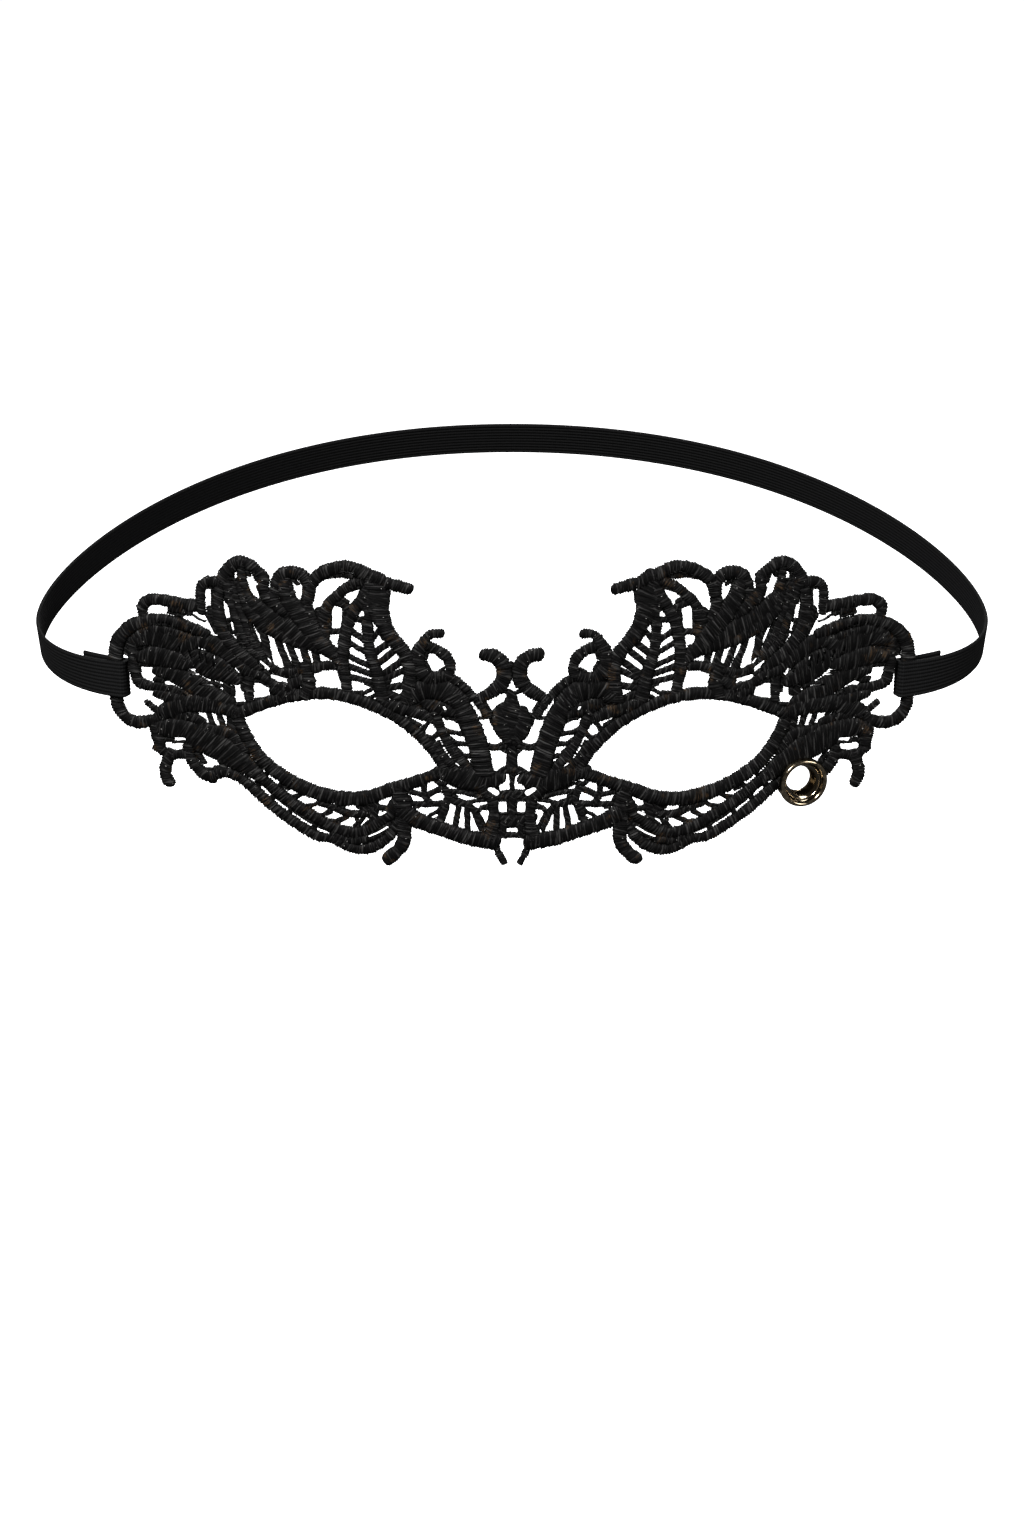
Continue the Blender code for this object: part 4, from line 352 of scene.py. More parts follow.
    ("hip_lobe_back", "cord", (0.67, 0.67, 0.67), ((77.7, 1.3), (74.1, 1.1), (72.0, -1.7),
        (71.5, -5.5))),
    ("feather_rail", "cord", (0.67, 0.83, 0.83), ((79.8, 16.5), (74.1, 15.9), (68.0, 15.0))),
    ("feather_fill", "leaf", (0.50, 0.83, 0.67), ((83.6, 11.5), (79.9, 12.0), (76.4, 10.8))),
    ("feather_web_1", "bar", (0.33, 0.42, 0.46), ((75.3, 16.5), (74.7, 13.8), (73.7, 9.5))),
    ("feather_web_2", "bar", (0.50, 0.50, 0.50), ((72.8, 16.4), (72.2, 13.8), (71.1, 9.1))),
    ("feather_web_3", "bar", (1.33, 1.17, 1.00), ((68.5, 15.3), (68.3, 8.5), (66.3, 3.6))),
    ("feather_web_4", "bar", (0.50, 0.50, 0.50), ((79.1, 15.9), (77.5, 11.0))),
    ("mid_root", "cord", (1.00, 0.67, 0.75), ((64.5, 29.7), (61.0, 28.4), (57.6, 25.7),
        (52.7, 23.5))),
    ("mid_post", "cord", (0.83, 1.00, 0.83), ((50.0, 32.5), (49.1, 27.5), (50.2, 22.7))),
    ("mid_rail", "cord", (0.67, 0.67, 0.75), ((62.3, 36.3), (57.7, 30.7), (54.0, 30.1),
        (50.0, 31.5), (45.3, 33.0), (41.1, 33.2))),
    ("mid_web_0", "bar", (0.50, 0.67, 0.67), ((62.0, 46.3), (60.1, 41.9), (59.5, 37.3),
        (58.9, 33.0))),
    ("mid_web_2", "bar", (0.50, 0.54, 0.67), ((56.6, 40.9), (55.9, 37.9), (55.0, 34.7),
        (54.2, 31.1))),
    ("mid_web_3", "bar", (0.50, 0.54, 0.58), ((54.0, 40.4), (53.3, 37.5), (52.3, 33.9),
        (51.5, 31.3))),
    ("mid_web_4", "bar", (0.62, 0.62, 0.62), ((50.5, 39.4), (50.0, 36.8), (49.3, 33.5),
        (49.0, 31.6))),
    ("mid_web_5", "bar", (0.58, 0.58, 0.58), ((47.8, 39.0), (47.3, 35.7), (47.0, 32.4))),
    ("mid_low", "leaf", (0.75, 1.00, 0.83), ((58.1, 24.0), (54.6, 25.3), (50.6, 28.1))),
    ("tie_1", "cord", (0.75, 0.75, 0.67), ((64.1, 27.4), (64.3, 19.9))),
    ("tie_2", "bar", (0.67, 0.67, 0.67), ((69.7, 24.0), (70.0, 15.8))),
    ("tie_3", "cord", (0.75, 0.75, 0.75), ((57.9, 24.0), (54.2, 22.3))),
    ("medallion", "leaf", (1.17, 3.08, 1.67), ((0.0, 22.3), (0.0, 16.6), (0.0, 11.9))),
    ("plume_tick_1", "bar", (0.33, 0.33, 0.33), ((69.5, 45.7), (67.3, 46.3))),
    ("plume_tick_2", "bar", (0.25, 0.25, 0.25), ((68.7, 41.6), (66.4, 42.5))),
    ("scallop_4_tick", "bar", (0.67, 0.67, 0.67), ((67.6, 58.0), (64.9, 57.9))),
    ("slot_side", "bar", (0.50, 0.50, 0.50), ((2.1, -18.6), (2.1, -22.8))),
)

# Short threads that round the corners of the gaps, with one width each.
# Columns: place, width, route
FILLS = (
    ("slot", 0.67, ((95.2, 35.3), (95.3, 31.2))),
    ("pad", 0.42, ((92.7, 33.3), (88.7, 34.5))),
    ("pad", 0.42, ((92.1, 28.0), (87.6, 28.3))),
    ("pad", 0.50, ((88.1, 23.6), (85.7, 23.5))),
    ("hip", 0.42, ((86.3, 3.1), (84.5, 3.2))),
    ("hip", 0.20, ((84.5, 2.3), (81.3, 2.8))),
    ("hip", 0.50, ((78.1, -0.5), (76.7, -3.4))),
    ("scallop_2", 0.42, ((73.9, 47.3), (72.9, 44.5), (71.7, 41.4))),
    ("scallop_2", 0.11, ((77.6, 46.7), (76.1, 45.4), (74.4, 44.8))),
    ("scallop_2", 0.29, ((83.8, 46.8), (80.2, 46.0))),
    ("pad", 0.30, ((80.9, 41.1), (77.1, 40.4))),
    ("tie", 0.38, ((66.1, 27.8), (65.7, 22.8))),
    ("tie", 0.33, ((68.2, 23.5), (68.3, 21.1))),
    ("tie", 0.33, ((67.7, 17.8), (65.1, 18.3))),
    ("mid", 0.42, ((62.6, 26.5), (61.1, 26.4), (58.9, 25.2))),
    ("mid", 0.25, ((58.7, 25.3), (58.6, 22.2))),
    ("mid", 0.28, ((62.8, 19.9), (60.7, 20.4))),
    ("feather", 0.38, ((73.8, 24.4), (71.3, 23.5))),
    ("scallop_3", 0.29, ((72.2, 56.5), (72.5, 50.8))),
    ("scallop_3", 0.25, ((74.0, 56.3), (72.0, 56.3))),
    ("scallop_4", 0.28, ((69.3, 54.5), (69.0, 51.7))),
    ("scallop_4", 0.25, ((68.2, 51.0), (67.8, 47.0))),
    ("scallop_4", 0.22, ((68.7, 45.3), (68.2, 42.7))),
    ("scallop_4", 0.25, ((67.2, 45.4), (66.8, 43.2))),
    ("scallop_4", 0.42, ((66.6, 41.5), (65.7, 39.6), (64.8, 37.7))),
    ("plume", 0.30, ((63.4, 46.8), (62.9, 43.9), (62.1, 40.7), (61.2, 38.4))),
    ("mid", 0.67, ((54.5, 33.4), (53.9, 31.8))),
    ("mid", 0.33, ((60.3, 30.0), (58.6, 28.6))),
    ("mid", 0.33, ((57.5, 29.3), (54.5, 28.7), (51.5, 29.3))),
    ("mid", 0.25, ((47.9, 30.6), (46.0, 31.5))),
    ("mid", 0.25, ((41.8, 31.6), (41.4, 29.1))),
    ("sail", 0.25, ((43.4, 52.2), (43.7, 45.2))),
    ("sail", 0.50, ((39.7, 52.4), (40.1, 49.1))),
    ("sail", 0.22, ((40.4, 48.4), (40.8, 45.6))),
    ("sail", 0.33, ((38.7, 58.3), (35.7, 59.7))),
    ("sail", 0.25, ((35.8, 58.8), (36.9, 55.5))),
    ("sail", 0.33, ((40.6, 55.5), (39.3, 54.4))),
    ("sail", 0.25, ((38.8, 24.5), (36.3, 24.9))),
    ("sail", 0.25, ((35.3, 27.7), (33.6, 27.0))),
    ("sail", 0.33, ((29.3, 58.5), (29.6, 54.9))),
    ("sail", 0.42, ((31.4, 44.7), (30.6, 42.8))),
    ("sail", 0.50, ((30.9, 28.5), (29.7, 28.6))),
    ("scallop_5", 0.33, ((52.5, 60.8), (51.2, 59.4))),
    ("scallop_4", 0.33, ((63.4, 63.0), (63.1, 61.3))),
    ("scallop_4", 0.42, ((60.7, 57.6), (59.8, 53.8))),
    ("scallop_4", 0.21, ((67.1, 61.9), (67.1, 59.6))),
    ("scallop_4", 0.25, ((67.0, 59.4), (65.6, 59.8))),
    ("ring", 0.42, ((22.9, 30.2), (22.5, 29.5))),
    ("ring", 0.33, ((20.7, 36.9), (20.1, 38.9), (18.6, 39.2))),
    ("ring", 0.25, ((20.6, 35.6), (19.6, 33.0))),
    ("ring", 0.25, ((17.5, 32.6), (16.3, 33.6))),
    ("brow", 0.33, ((22.9, 22.0), (22.0, 21.2))),
    ("brow", 0.30, ((25.2, 16.7), (24.0, 15.7), (22.3, 14.4))),
    ("brow", 0.25, ((20.6, 11.0), (19.3, 10.7), (18.1, 12.1))),
    ("brow", 0.22, ((21.2, 12.8), (20.5, 14.6))),
    ("brow", 0.28, ((17.8, 9.1), (16.7, 7.4))),
    ("brow", 0.13, ((16.1, 5.9), (15.4, 5.1))),
    ("brow", 0.30, ((15.9, 17.1), (14.2, 16.8), (12.7, 15.5), (12.0, 13.1))),
    ("brow", 0.30, ((16.1, 13.3), (14.7, 12.6), (13.5, 12.3))),
    ("brow", 0.25, ((14.8, 10.2), (13.8, 9.2))),
    ("brow", 0.17, ((13.0, 11.5), (11.5, 11.1), (10.9, 9.7))),
    ("brow", 0.22, ((13.2, 6.7), (12.1, 5.4))),
    ("brow", 0.17, ((9.9, 2.8), (9.5, 1.3))),
    ("centre", 0.22, ((11.1, 24.7), (10.2, 22.9))),
    ("centre", 0.25, ((8.0, 17.4), (6.7, 17.2))),
    ("centre", 0.25, ((5.3, 17.4), (4.7, 14.9))),
    ("centre", 0.22, ((5.7, 8.5), (4.3, 7.9), (2.6, 8.6), (1.8, 9.3))),
    ("centre", 0.25, ((2.3, 6.7), (1.4, 5.8))),
    ("centre", 0.30, ((3.1, -0.6), (1.6, 0.6))),
    ("centre", 0.30, ((6.5, 22.4), (5.2, 19.6))),
    ("centre", 0.33, ((0.0, 35.6), (0.0, 31.5))),
    ("under", 0.22, ((62.0, -9.1), (60.8, -10.0), (59.6, -11.7))),
    ("under", 0.27, ((58.1, -13.4), (56.6, -14.8), (55.1, -16.3))),
    ("under", 0.30, ((53.9, -17.4), (51.9, -19.1), (49.1, -21.2))),
    ("under", 0.25, ((49.5, -22.8), (48.9, -21.5))),
    ("under", 0.30, ((48.1, -22.0), (46.4, -22.8), (44.8, -23.7))),
    ("under", 0.25, ((56.6, -9.1), (55.0, -10.0))),
    ("under", 0.22, ((54.8, -12.4), (53.1, -11.8))),
    ("under", 0.17, ((51.6, -15.0), (49.8, -14.7))),
    ("under", 0.22, ((45.8, -17.7), (44.4, -16.7))),
    ("under", 0.25, ((44.9, -19.7), (43.6, -19.8), (42.3, -18.8))),
    ("under", 0.22, ((42.1, -19.6), (40.4, -18.4))),
    ("under", 0.33, ((38.3, -18.6), (38.1, -19.8), (39.0, -21.3))),
    ("under", 0.25, ((36.6, -20.7), (35.2, -19.1))),
    ("under", 0.17, ((42.2, -14.4), (41.2, -14.8))),
    ("under", 0.45, ((37.7, -14.2), (37.0, -14.7))),
    ("belly", 0.42, ((29.6, -18.5), (28.6, -17.0))),
    ("belly", 0.15, ((36.7, -27.0), (33.9, -25.4), (31.4, -23.2))),
    ("fan", 0.20, ((21.0, -5.6), (21.1, -8.0))),
    ("fan", 0.42, ((18.3, -4.4), (17.3, -5.2), (16.1, -4.9))),
    ("fan", 0.30, ((15.1, -5.1), (13.1, -6.3), (10.7, -7.3), (8.2, -8.0))),
    ("fan", 0.25, ((25.2, -9.9), (24.7, -11.3))),
    ("fan", 0.17, ((21.8, -10.1), (21.3, -11.1))),
    ("fan", 0.30, ((20.4, -9.7), (19.1, -8.5), (17.6, -7.6))),
    ("fan", 0.25, ((20.5, -10.6), (19.8, -11.5))),
    ("fan", 0.33, ((14.6, -9.0), (13.7, -9.8))),
    ("fan", 0.22, ((13.6, -10.4), (11.7, -11.1))),
    ("fan", 0.22, ((24.0, -13.5), (22.8, -13.7))),
    ("fan", 0.22, ((17.4, -13.2), (18.4, -14.8), (20.1, -16.0))),
    ("ray", 0.25, ((15.6, -13.1), (16.3, -15.8), (16.7, -17.5))),
    ("ray", 0.33, ((8.2, -15.6), (7.3, -18.0), (6.5, -20.4))),
    ("centre", 0.17, ((1.1, -11.0), (1.0, -14.8))),
    ("centre", 0.17, ((3.1, -15.1), (1.1, -15.1))),
    ("centre", 0.17, ((3.1, -10.7), (1.1, -10.6))),
    ("centre", 0.25, ((3.1, -20.2), (3.1, -21.7))),
)

# Slits left open between threads, with one width each.
# Columns: name, width, route
SLITS = (
    ("strap_slot", 0.50, ((95.6, 29.5), (96.3, 15.6))),
    ("slit_a", 0.18, ((81.1, 35.7), (80.9, 34.4))),
    ("slit_b", 0.25, ((78.5, 34.4), (78.0, 32.7))),
    ("slit_c", 0.25, ((76.0, 34.4), (75.6, 31.4))),
    ("slit_d", 0.13, ((74.6, 34.2), (74.3, 31.2))),
    ("slit_e", 0.28, ((72.7, 33.4), (72.3, 30.1))),
    ("slit_g", 0.18, ((68.7, 29.9), (68.4, 28.9))),
    ("slit_h", 0.25, ((67.3, 30.0), (66.9, 29.2))),
    ("slit_i", 0.15, ((79.6, 28.1), (77.5, 28.4))),
    ("slit_j", 0.17, ((78.6, 26.6), (77.1, 26.6))),
    ("slit_k", 0.17, ((76.2, 23.7), (73.3, 23.4))),
    ("plume_gap", 0.37, ((61.0, 32.9), (59.2, 31.1))),
    ("crescent", 0.33, ((58.3, 28.3), (56.3, 27.9), (54.6, 26.7))),
    ("corner_gap", 0.53, ((5.2, -6.9), (3.9, -8.1))),
    ("centre_gap", 0.62, ((2.3, -12.2), (2.3, -13.8))),
    ("hip_gap", 0.33, ((83.5, 3.8), (81.1, 4.2))),
    ("tip_gap", 0.29, ((16.4, 20.9), (16.1, 20.1))),
    ("root_gap", 0.13, ((30.0, 22.7), (29.6, 22.4))),
    ("mid_tooth", 0.25, ((59.1, 34.0), (58.6, 33.0))),
    ("lower_gap", 0.33, ((85.4, 22.5), (84.5, 22.7))),
    ("brow_slit", 0.21, ((13.6, 1.9), (12.8, 1.0))),
    ("belly_slit", 0.22, ((35.3, -24.4), (32.9, -22.8), (30.6, -20.7))),
    ("wing_slit", 0.15, ((40.7, 64.7), (37.3, 63.9))),
    ("cheek_gap", 0.29, ((32.5, -16.8), (31.0, -15.6))),
    ("leaf_dot", 0.28, ((35.6, 51.3), (35.6, 50.4))),
    ("fan_gap", 0.23, ((19.4, -16.9), (18.4, -16.1))),
)


class LaceSettings(PropertyGroup):
    mask_width: FloatProperty(
        name="Mask Width", description="The lace from end to end, seen from the front",
        default=0.210, unit="LENGTH")
    mask_height: FloatProperty(
        name="Mask Height", description="Highest scallop to lowest tail", default=0.080,
        unit="LENGTH")
    face_sag: FloatProperty(
        name="Face Sag", description="How far the ends lie behind the nose bridge",
        default=0.022, unit="LENGTH")
    cord_width: FloatProperty(
        name="Cord Width", description="Width of the cord that edges the scallops",
        default=0.0032, unit="LENGTH")
    cord_thickness: FloatProperty(
        name="Cord Thickness", description="Thickness at the crest of a padded cord",
        default=0.0019, unit="LENGTH")
    thread_pitch: FloatProperty(
        name="Thread Pitch", description="From one turn of the satin thread to the next",
        default=0.00066, unit="LENGTH")
    thread_relief: FloatProperty(
        name="Thread Relief", description="How far a turn stands out of the groove beside it",
        default=0.00026, unit="LENGTH")
    thread_colour: FloatVectorProperty(
        name="Thread Colour", description="The satin thread in shade", subtype="COLOR",
        default=(0.0014, 0.0013, 0.0013), min=0.0, max=1.0)
    # Painted highlight: pale streaks that stand for fibres catching the light
    painted_fibre_highlight: FloatVectorProperty(
        name="Fibre Colour", description="Fibres that catch the light", subtype="COLOR",
        default=(0.046, 0.045, 0.044), min=0.0, max=1.0)
    # Painted warm glint: brown patches that stand for warm gleams on the thread
    painted_warm_glint: FloatVectorProperty(
        name="Core Colour", description="Brown thread that shows between the turns",
        subtype="COLOR", default=(0.060, 0.036, 0.018), min=0.0, max=1.0)
    sparkle_colour: FloatVectorProperty(
        name="Sparkle Colour", description="Single filaments that shine", subtype="COLOR",
        default=(0.45, 0.44, 0.42), min=0.0, max=1.0)


class StrapSettings(PropertyGroup):
    width: FloatProperty(
        name="Width", description="Width of the elastic", default=0.0098, unit="LENGTH")
    thickness: FloatProperty(
        name="Thickness", description="Thickness of the elastic", default=0.0009,
        unit="LENGTH")
    ribs: IntProperty(
        name="Ribs", description="Ribs that run along the elastic", default=10, min=2)
    rise: FloatProperty(
        name="Rise", description="How steeply the loop climbs towards the back",
        default=math.radians(21.5), subtype="ANGLE")
    bulge: FloatProperty(
        name="Bulge", description="How far the loop stands out beyond the lace",
        default=0.0221, unit="LENGTH")
    front_reach: FloatProperty(
        name="Front Reach", description="Along the loop, from the lace to its widest place",
        default=0.0207, unit="LENGTH")
    back_reach: FloatProperty(
        name="Back Reach", description="Along the loop, from its widest place to the back",
        default=0.0912, unit="LENGTH")
    hem: FloatProperty(
        name="Hem", description="Length of the end that is turned back behind the lace",
        default=0.014, unit="LENGTH")
    fold_radius: FloatProperty(
        name="Fold Radius", description="Centre line of the fold round the lace's end cord",
        default=0.00075, unit="LENGTH")
    colour: FloatVectorProperty(
        name="Colour", description="Rib of the elastic", subtype="COLOR",
        default=(0.0062, 0.0062, 0.0064), min=0.0, max=1.0)
    # Painted shade: the grooves between the ribs are coloured darker
    painted_groove_shade: FloatVectorProperty(
        name="Groove Colour", description="Between two ribs", subtype="COLOR",
        default=(0.0015, 0.0015, 0.0016), min=0.0, max=1.0)


class EyeletSettings(PropertyGroup):
    outer: FloatProperty(
        name="Outer Diameter", description="Across the rolled rim", default=0.0134,
        unit="LENGTH")
    bore: FloatProperty(
        name="Bore", description="Across the open barrel", default=0.0092, unit="LENGTH")
    wall: FloatProperty(
        name="Wall", description="Thickness of the barrel's metal", default=0.0005,
        unit="LENGTH")
    roll: FloatProperty(
        name="Roll", description="Height of the rolled rim", default=0.0021, unit="LENGTH")
    back_roll: FloatProperty(
        name="Back Roll", description="Height of the roll behind the lace",
        default=0.0013, unit="LENGTH")
    across: FloatProperty(
        name="Across", description="Place across from the nose bridge", default=0.0752,
        unit="LENGTH")
    up: FloatProperty(
        name="Up", description="Place above the nose bridge", default=-0.0070,
        unit="LENGTH")
    throat: FloatProperty(
        name="Throat", description="The funnel's narrow end, as a share of the bore",
        subtype="FACTOR", default=0.74, min=0.1, max=1.0)
    colour: FloatVectorProperty(
        name="Colour", description="Dark plated brass", subtype="COLOR",
        default=(0.12, 0.095, 0.062), min=0.0, max=1.0)
    worn_colour: FloatVectorProperty(
        name="Worn Colour", description="Bare brass where the plating is rubbed",
        subtype="COLOR", default=(0.60, 0.49, 0.34), min=0.0, max=1.0)


class StageSettings(PropertyGroup):
    camera_distance: FloatProperty(
        name="Camera Distance", description="From the nose bridge to the camera",
        default=0.600, unit="LENGTH")
    camera_height: FloatProperty(
        name="Camera Height", description="Angle of the camera above the level",
        default=math.radians(20.0), subtype="ANGLE")
    camera_lens: FloatProperty(
        name="Camera Lens", description="Focal length in millimetres", default=54.75)
    floor_depth: FloatProperty(
        name="Floor Depth", description="How far the floor lies below the nose bridge",
        default=0.30, unit="LENGTH")
    floor_size: FloatProperty(
        name="Floor Size", description="Radius of the floor", default=30.0, unit="LENGTH")
    floor_colour: FloatVectorProperty(
        name="Floor Colour", description="Plain pale floor", subtype="COLOR",
        default=(0.92, 0.92, 0.92), min=0.0, max=1.0)


class MaskSettings(PropertyGroup):
    lace: PointerProperty(type=LaceSettings)
    strap: PointerProperty(type=StrapSettings)
    eyelet: PointerProperty(type=EyeletSettings)
    stage: PointerProperty(type=StageSettings)


def half_width(lace):
    return lace.mask_width / 2


def face_depth(lace, across):
    """How far behind the nose bridge the lace's back lies."""
    return lace.face_sag * (across / half_width(lace)) ** 2


def face_turn(lace, across):
    """The slope of the lace, seen from above."""
    return np.arctan(2 * lace.face_sag * across / half_width(lace) ** 2)


def on_face(lace, across, up, height):
    """Points at a height in front of the lace's back."""
    turn = face_turn(lace, across)
    return np.stack((across + height * np.sin(turn),
                     face_depth(lace, across) - height * np.cos(turn), up), axis=-1)


def chart_route(lace, side, points):
    """Chart points, in hundredths, as metres across and up on one side of the mask."""
    scale = np.array((side * half_width(lace) / 100, lace.mask_height / 100))
    return np.array(points, float) * scale


def smooth_route(points, steps):
    """A Catmull-Rom curve through the chosen points."""
    chosen = np.array(points, float)
    ends = (2 * chosen[0] - chosen[1], 2 * chosen[-1] - chosen[-2])
    framed = np.vstack((ends[0], chosen, ends[1]))
    route = []
    for i in range(1, len(framed) - 2):
        before, start, end, after = framed[i - 1 : i + 3]
        for t in np.arange(steps) / steps:
            route.append(
                0.5 * (2 * start + (end - before) * t
                       + (2 * before - 5 * start + 4 * end - after) * t * t
                       + (3 * start - before - 3 * end + after) * t ** 3)
            )
    route.append(chosen[-1])
    return np.array(route)


def running_length(route):
    steps = np.linalg.norm(np.diff(route, axis=0), axis=1)
    return np.concatenate(((0.0,), np.cumsum(steps)))


def headings(route):
    steps = np.gradient(route, axis=0)
    return steps / np.linalg.norm(steps, axis=1)[:, None]


def left_of(ahead):
    return np.stack((-ahead[:, 1], ahead[:, 0]), axis=1)


def swelling(shares, start, middle, end):
    """A width that swells from the start to the middle and thins to the end."""
    rising = start + (middle - start) * np.sin(np.pi * np.clip(shares, 0, 0.5))
    falling = end + (middle - end) * np.sin(np.pi * np.clip(1 - shares, 0, 0.5))
    return np.where(shares < 0.5, rising, falling)


def resampled(route, run, even):
    return np.stack([np.interp(even, run, route[:, i]) for i in range(route.shape[1])], axis=1)


def wound_route(lace, side, widths, points):
    """A strand's centre line, ring by ring, with its half widths and how near a tip is."""
    rough = smooth_route(chart_route(lace, side, points), ROUTE_STEPS)
    run = running_length(rough)
    half = swelling(run / run[-1], *widths) * lace.cord_width / 2
    ahead = headings(rough)
    rough = np.vstack((rough[0] - ahead[0] * half[0], rough, rough[-1] + ahead[-1] * half[-1]))
    half = np.concatenate((half[:1], half, half[-1:]))
    run = running_length(rough)
    count = max(2, round(run[-1] / lace.thread_pitch)) * len(THREAD_ROUND) + 1
    even = np.linspace(0, run[-1], count)
    near_tip = np.minimum(even / half[0], (run[-1] - even) / half[-1])
    near_tip = np.sqrt(np.maximum(1 - (1 - np.clip(near_tip, 0, 1)) ** 2, TIP_LEAST))
    return resampled(rough, run, even), np.interp(even, run, half), near_tip, even


def tube_faces(rings, sides):
    """Quads between rings of points, and a face over each end."""
    faces = []
    for ring in range(rings - 1):
        low = ring * sides
        for side in range(sides):
            after = (side + 1) % sides
            faces.append((low + side, low + after, low + sides + after, low + sides + side))
    faces.append(tuple(range(sides))[::-1])
    faces.append(tuple((rings - 1) * sides + i for i in range(sides)))
    return faces


def lay_threads(mesh, along, around):
    """Stores where each corner lies along and around a tube, in millimetres."""
    rings, sides = len(along), len(around) - 1
    corners = np.zeros((len(mesh.loops), 2))
    ring, side = np.meshgrid(np.arange(rings - 1), np.arange(sides), indexing="ij")
    ring, side = ring.ravel(), side.ravel()
    for corner, (up, over) in enumerate(((0, 0), (0, 1), (1, 1), (1, 0))):
        corners[corner : 4 * len(ring) : 4, 0] = along[ring + up]
        corners[corner : 4 * len(ring) : 4, 1] = around[side + over]
    corners[-sides:, 0] = along[-1]
    layer = mesh.uv_layers.new(name=THREADS)
    layer.data.foreach_set("uv", (corners / MM).astype(np.float32).ravel())


def satin_strand(lace, kind, side, widths, points, chance, lift):
    """One strand of satin stitch: a padded core with thread wound across it."""
    sides, base, crest, slant, relief = STYLES[kind]
    route, half, near_tip, run = wound_route(lace, side, widths, points)
    ahead = headings(route)
    aside = left_of(ahead)
    turns = 2 * math.pi * (np.arange(sides) + 0.5) / sides
    sideways = np.sign(np.cos(turns)) * np.abs(np.cos(turns)) ** SIDE_FULLNESS
    height = np.sign(np.sin(turns)) * np.abs(np.sin(turns)) ** CREST_FULLNESS
    ring = np.arange(len(route))
    turn = ring // len(THREAD_ROUND)
    slack = np.array([chance.uniform(-SLACK, SLACK) for _ in range(turn[-1] + 1)])[turn]
    ridge = np.array([THREAD_ROUND[i % len(THREAD_ROUND)] for i in ring])
    ridge = (ridge + slack * near_tip) * relief * lace.thread_relief
    grown = (half * near_tip)[:, None] * sideways + ridge[:, None] * np.cos(turns)
    shift = slant * half[:, None] * sideways * near_tip[:, None]
    place = (route[:, None] + aside[:, None] * grown[:, :, None]
             + ahead[:, None] * shift[:, :, None])
    plump = np.clip(half / (lace.cord_width / 2), LEAST_PLUMP[kind], 1.0) * near_tip
    tall = (base + crest) / 2 + (crest - base) / 2 * plump[:, None] * height
    tall = tall * lace.cord_thickness + ridge[:, None] * np.sin(turns) + lift
    solid = on_face(lace, place[:, :, 0], place[:, :, 1], tall)
    mesh = bpy.data.meshes.new("strand")
    mesh.from_pydata(solid.reshape(-1, 3).tolist(), [], tube_faces(len(route), sides))
    girth = 2 * half.max() + (crest - base) * lace.cord_thickness
    lay_threads(mesh, run, np.arange(sides + 1) / sides * girth)
    return mesh, place


def round_end(centre, ahead, radius):
    """Points round the end of a slit, from its left side to its right."""
    points = []
    aside = np.array((-ahead[1], ahead[0]))
    for i in range(1, SLIT_END_STEPS):
        turn = math.pi / 2 - math.pi * i / SLIT_END_STEPS
        points.append(centre + radius * (math.cos(turn) * ahead + math.sin(turn) * aside))
    return points


def slit_cutter(lace, side, width, points):
    """A closed prism round a slit, tall enough to pass right through the lace."""
    route = smooth_route(chart_route(lace, side, points), SLIT_STEPS)
    ahead = headings(route)
    aside = left_of(ahead)
    half = width * lace.cord_width / 2
    outline = [*(route + aside * half), *round_end(route[-1], ahead[-1], half),
               *(route - aside * half)[::-1], *round_end(route[0], -ahead[0], half)]
    outline = np.array(outline)
    count = len(outline)
    low = on_face(lace, outline[:, 0], outline[:, 1], np.full(count, -lace.cord_thickness))
    top = SLIT_REACH * lace.cord_thickness
    high = on_face(lace, outline[:, 0], outline[:, 1], np.full(count, top))
    faces = [(i, (i + 1) % count, count + (i + 1) % count, count + i) for i in range(count)]
    faces += [tuple(range(count))[::-1], tuple(range(count, 2 * count))]
    mesh = bpy.data.meshes.new("slit_cutter")
    mesh.from_pydata(np.vstack((low, high)).tolist(), [], faces)
    face_out(mesh)
    return mesh


def face_out(mesh):
    """Turns every face of a closed mesh outwards."""
    shape = bmesh.new()
    shape.from_mesh(mesh)
    bmesh.ops.recalc_face_normals(shape, faces=shape.faces)
    shape.to_mesh(mesh)
    shape.free()


def eyelet_matrix(lace, eyelet):
    """Places the eyelet's turning axis square to the lace, with its back on the face."""
    place = Vector((eyelet.across, face_depth(lace, eyelet.across), eyelet.up))
    turn = Matrix.Rotation(float(face_turn(lace, eyelet.across)), 4, "Z")
    return Matrix.Translation(place) @ turn @ Matrix.Rotation(math.pi / 2, 4, "X")


def bore_radius(eyelet):
    return eyelet.bore / 2 + eyelet.wall + FIT_GAP


def bore_cutter(lace, eyelet):
    """The hole through the lace that the eyelet's barrel passes through."""
    shape = bmesh.new()
    bmesh.ops.create_cone(shape, cap_ends=True, segments=BORE_STEPS,
                          radius1=bore_radius(eyelet), radius2=bore_radius(eyelet),
                          depth=BORE_LENGTH * lace.cord_thickness)
    bmesh.ops.transform(shape, matrix=eyelet_matrix(lace, eyelet), verts=shape.verts)
    mesh = bpy.data.meshes.new("bore_cutter")
    shape.to_mesh(mesh)
    shape.free()
    return mesh


def cut_away(mesh, cutter_mesh):
    """The mesh that is left when the cutter is taken away."""
    scene = bpy.context.scene.collection
    body = bpy.data.objects.new("uncut", mesh)
    cutter = bpy.data.objects.new("cutter", cutter_mesh)
    scene.objects.link(body)
    scene.objects.link(cutter)
    cut = body.modifiers.new("cut", "BOOLEAN")
    cut.operation = "DIFFERENCE"
    cut.solver = "EXACT"
    cut.object = cutter
    graph = bpy.context.evaluated_depsgraph_get()
    left = bpy.data.meshes.new_from_object(body.evaluated_get(graph), depsgraph=graph)
    bpy.data.objects.remove(body)
    bpy.data.objects.remove(cutter)
    return left


